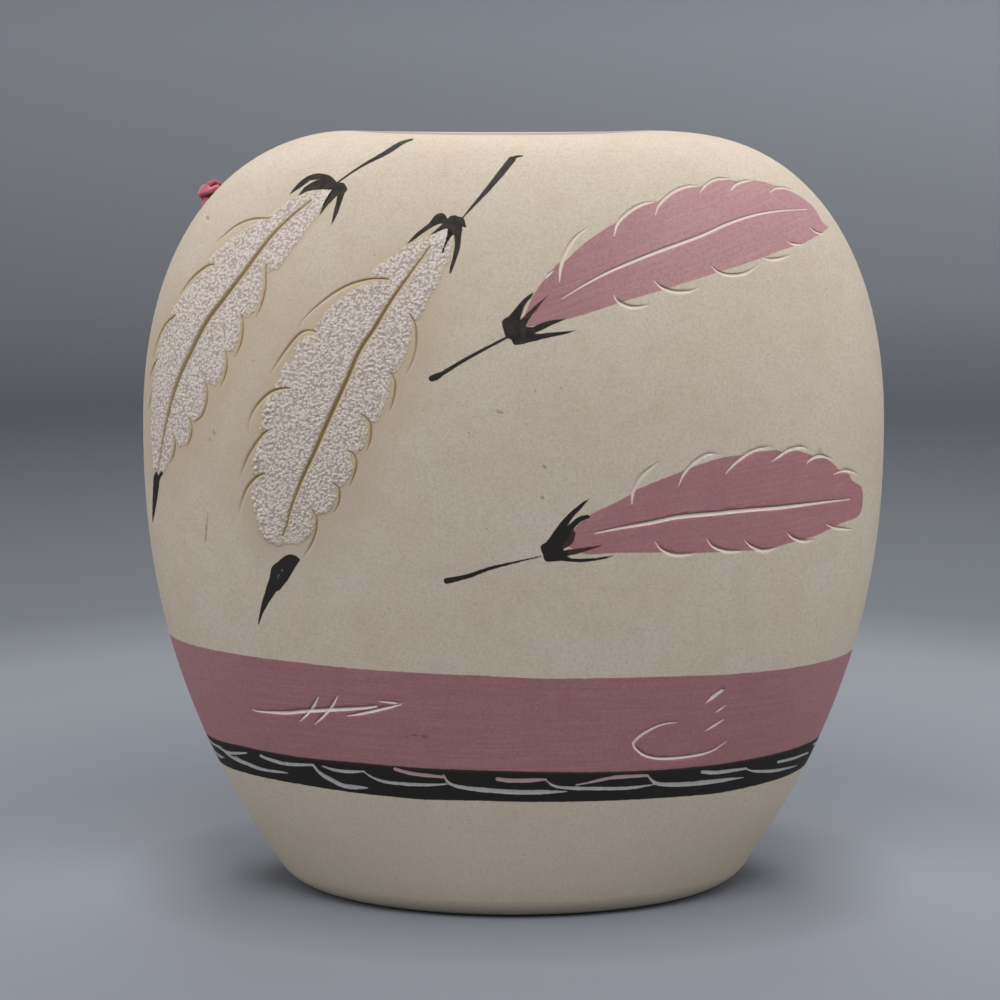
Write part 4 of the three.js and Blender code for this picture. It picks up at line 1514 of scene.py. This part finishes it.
# %% Suede material
suede, tree, shader, in_mm, _ = new_material("crimson_suede")
nap = add(tree, "TexNoise", {"Vector": in_mm, "Scale": 1 / 0.3, "Detail": 4.0})
rubbed = add(tree, "TexNoise", {"Vector": in_mm, "Scale": 1 / 3.0, "Detail": 2.0})
worn = add(tree, "Math", {0: nap, 1: 0.6, 2: rubbed}, operation="MULTIPLY_ADD")
feed(tree, shader, {
    "Base Color": coats(tree, "#8A2C42", [("#C65C72", worn, 0.5, 1.05)]),
    "Roughness": 0.95,
    "Sheen Weight": 0.5,
    "Sheen Roughness": 0.5,
    "Normal": add(tree, "Bump", {"Height": nap, "Strength": 0.8, "Distance": 0.0002}),
})
dress(suede, long_tail, short_tail, knot, stitch)

# %% [markdown]
# ## The studio
# The vase stands on a pale grey-blue sweep with shade and light painted on it. A round cove,
# like a shallow tub with a rounded corner, has the same shape from every side. It is a disc
# with its rim extruded up and the corner bevelled.

# %% Cove
bpy.ops.object.select_all(action="DESELECT")
bpy.ops.mesh.primitive_circle_add(vertices=96, radius=1.7, fill_type="NGON", location=(0, 0, 0))
cove = bpy.context.object
cove.name = "studio_cove"
edit(cove, "EDGE")
bpy.ops.mesh.select_all(action="SELECT")
bpy.ops.mesh.extrude_edges_move(TRANSFORM_OT_translate={"value": (0, 0, 1.5)})
bpy.ops.mesh.select_all(action="DESELECT")
mesh = bmesh.from_edit_mesh(cove.data)
for e in mesh.edges:
    e.select_set(all(abs(v.co.z) < 1e-6 for v in e.verts))
bmesh.update_edit_mesh(cove.data)
bpy.ops.mesh.bevel(offset=0.5, segments=12, affect="EDGES")
bpy.ops.object.mode_set(mode="OBJECT")
bpy.ops.object.shade_smooth_by_angle(angle=math.radians(60))

# %% Paper of the cove
backdrop, tree, shader, in_mm, _ = new_material("matt_grey_paper")
across, _, rise = add(tree, "SeparateXYZ", {0: in_mm}, None).outputs
radius, oval = (
    add(tree, "VectorMath", {
        0: add(tree, "VectorMath", {0: in_mm, 1: (narrow, 1, 0)}, operation="MULTIPLY"),
    }, "Value", operation="LENGTH")
    for narrow in (1, 0.74)
)
# painted shade and light: a painted contact shadow round the foot, a darker painted band on the
# far floor, the wall painted lighter higher up, and painted shade towards the left
feed(tree, shader, {
    "Base Color": coats(tree, "#72767D", [
        ("#969AA2", oval, 45, 95),
        ("#8A8E96", oval, 95, 150),
        ("#94989F", radius, 180, 300),
        ("#7B7F86", radius, 370, 470),
        ("#A0A4AB", rise, 5, 70),
        ("#D0D4DC", rise, 70, 290),
        ("#5A5D63", across, -450, 450, 0.3, 0),
    ]),
    "Roughness": 0.8,
})
dress(backdrop, cove)

# %% [markdown]
# ## Lights
# The shading of the photographed shoulder, sides and foot tells where the light came from.
# One soft lamp hangs above and in front, so that the gouges show a dark upper edge. A wider
# one hangs above and behind, and makes the shoulder and the far paper brighter. Two low
# lamps at the sides, left and right, light the ends.

# %% Lamps and world
def soft_lamp(name, place, size, power):
    bpy.ops.object.select_all(action="DESELECT")
    bpy.ops.object.light_add(type="AREA", location=place)
    lamp = bpy.context.object
    lamp.name = name
    lamp.data.shape = "SQUARE"
    lamp.data.size = size
    lamp.data.energy = power
    aim = Vector((0, 0, 0.14)) - Vector(place)
    lamp.rotation_euler = aim.to_track_quat("-Z", "Y").to_euler()
    return lamp


def around(turn, rise, away):
    """A place at a turn from the front (right is positive) and a rise, both in degrees."""
    turn, rise = math.radians(turn), math.radians(rise)
    level = away * math.cos(rise)
    return (level * math.sin(turn), -level * math.cos(turn), 0.12 + away * math.sin(rise))


soft_lamp("overhead_softbox", (0.05, -0.42, 0.85), 0.55, 4.9)
soft_lamp("back_softbox", (0, 0.6, 1.2), 0.8, 8.0)
soft_lamp("left_softbox", around(-72, 22, 1.0), 0.8, 4.7)
soft_lamp("right_softbox", around(76, 22, 1.0), 0.8, 4.4)

world = bpy.context.scene.world or bpy.data.worlds.new("studio")
bpy.context.scene.world = world
world.use_nodes = True
background = world.node_tree.nodes.get("Background")
background.inputs["Color"].default_value = paint("#E8ECF2")
background.inputs["Strength"].default_value = 0.05
bpy.context.scene.view_settings.view_transform = "Standard"
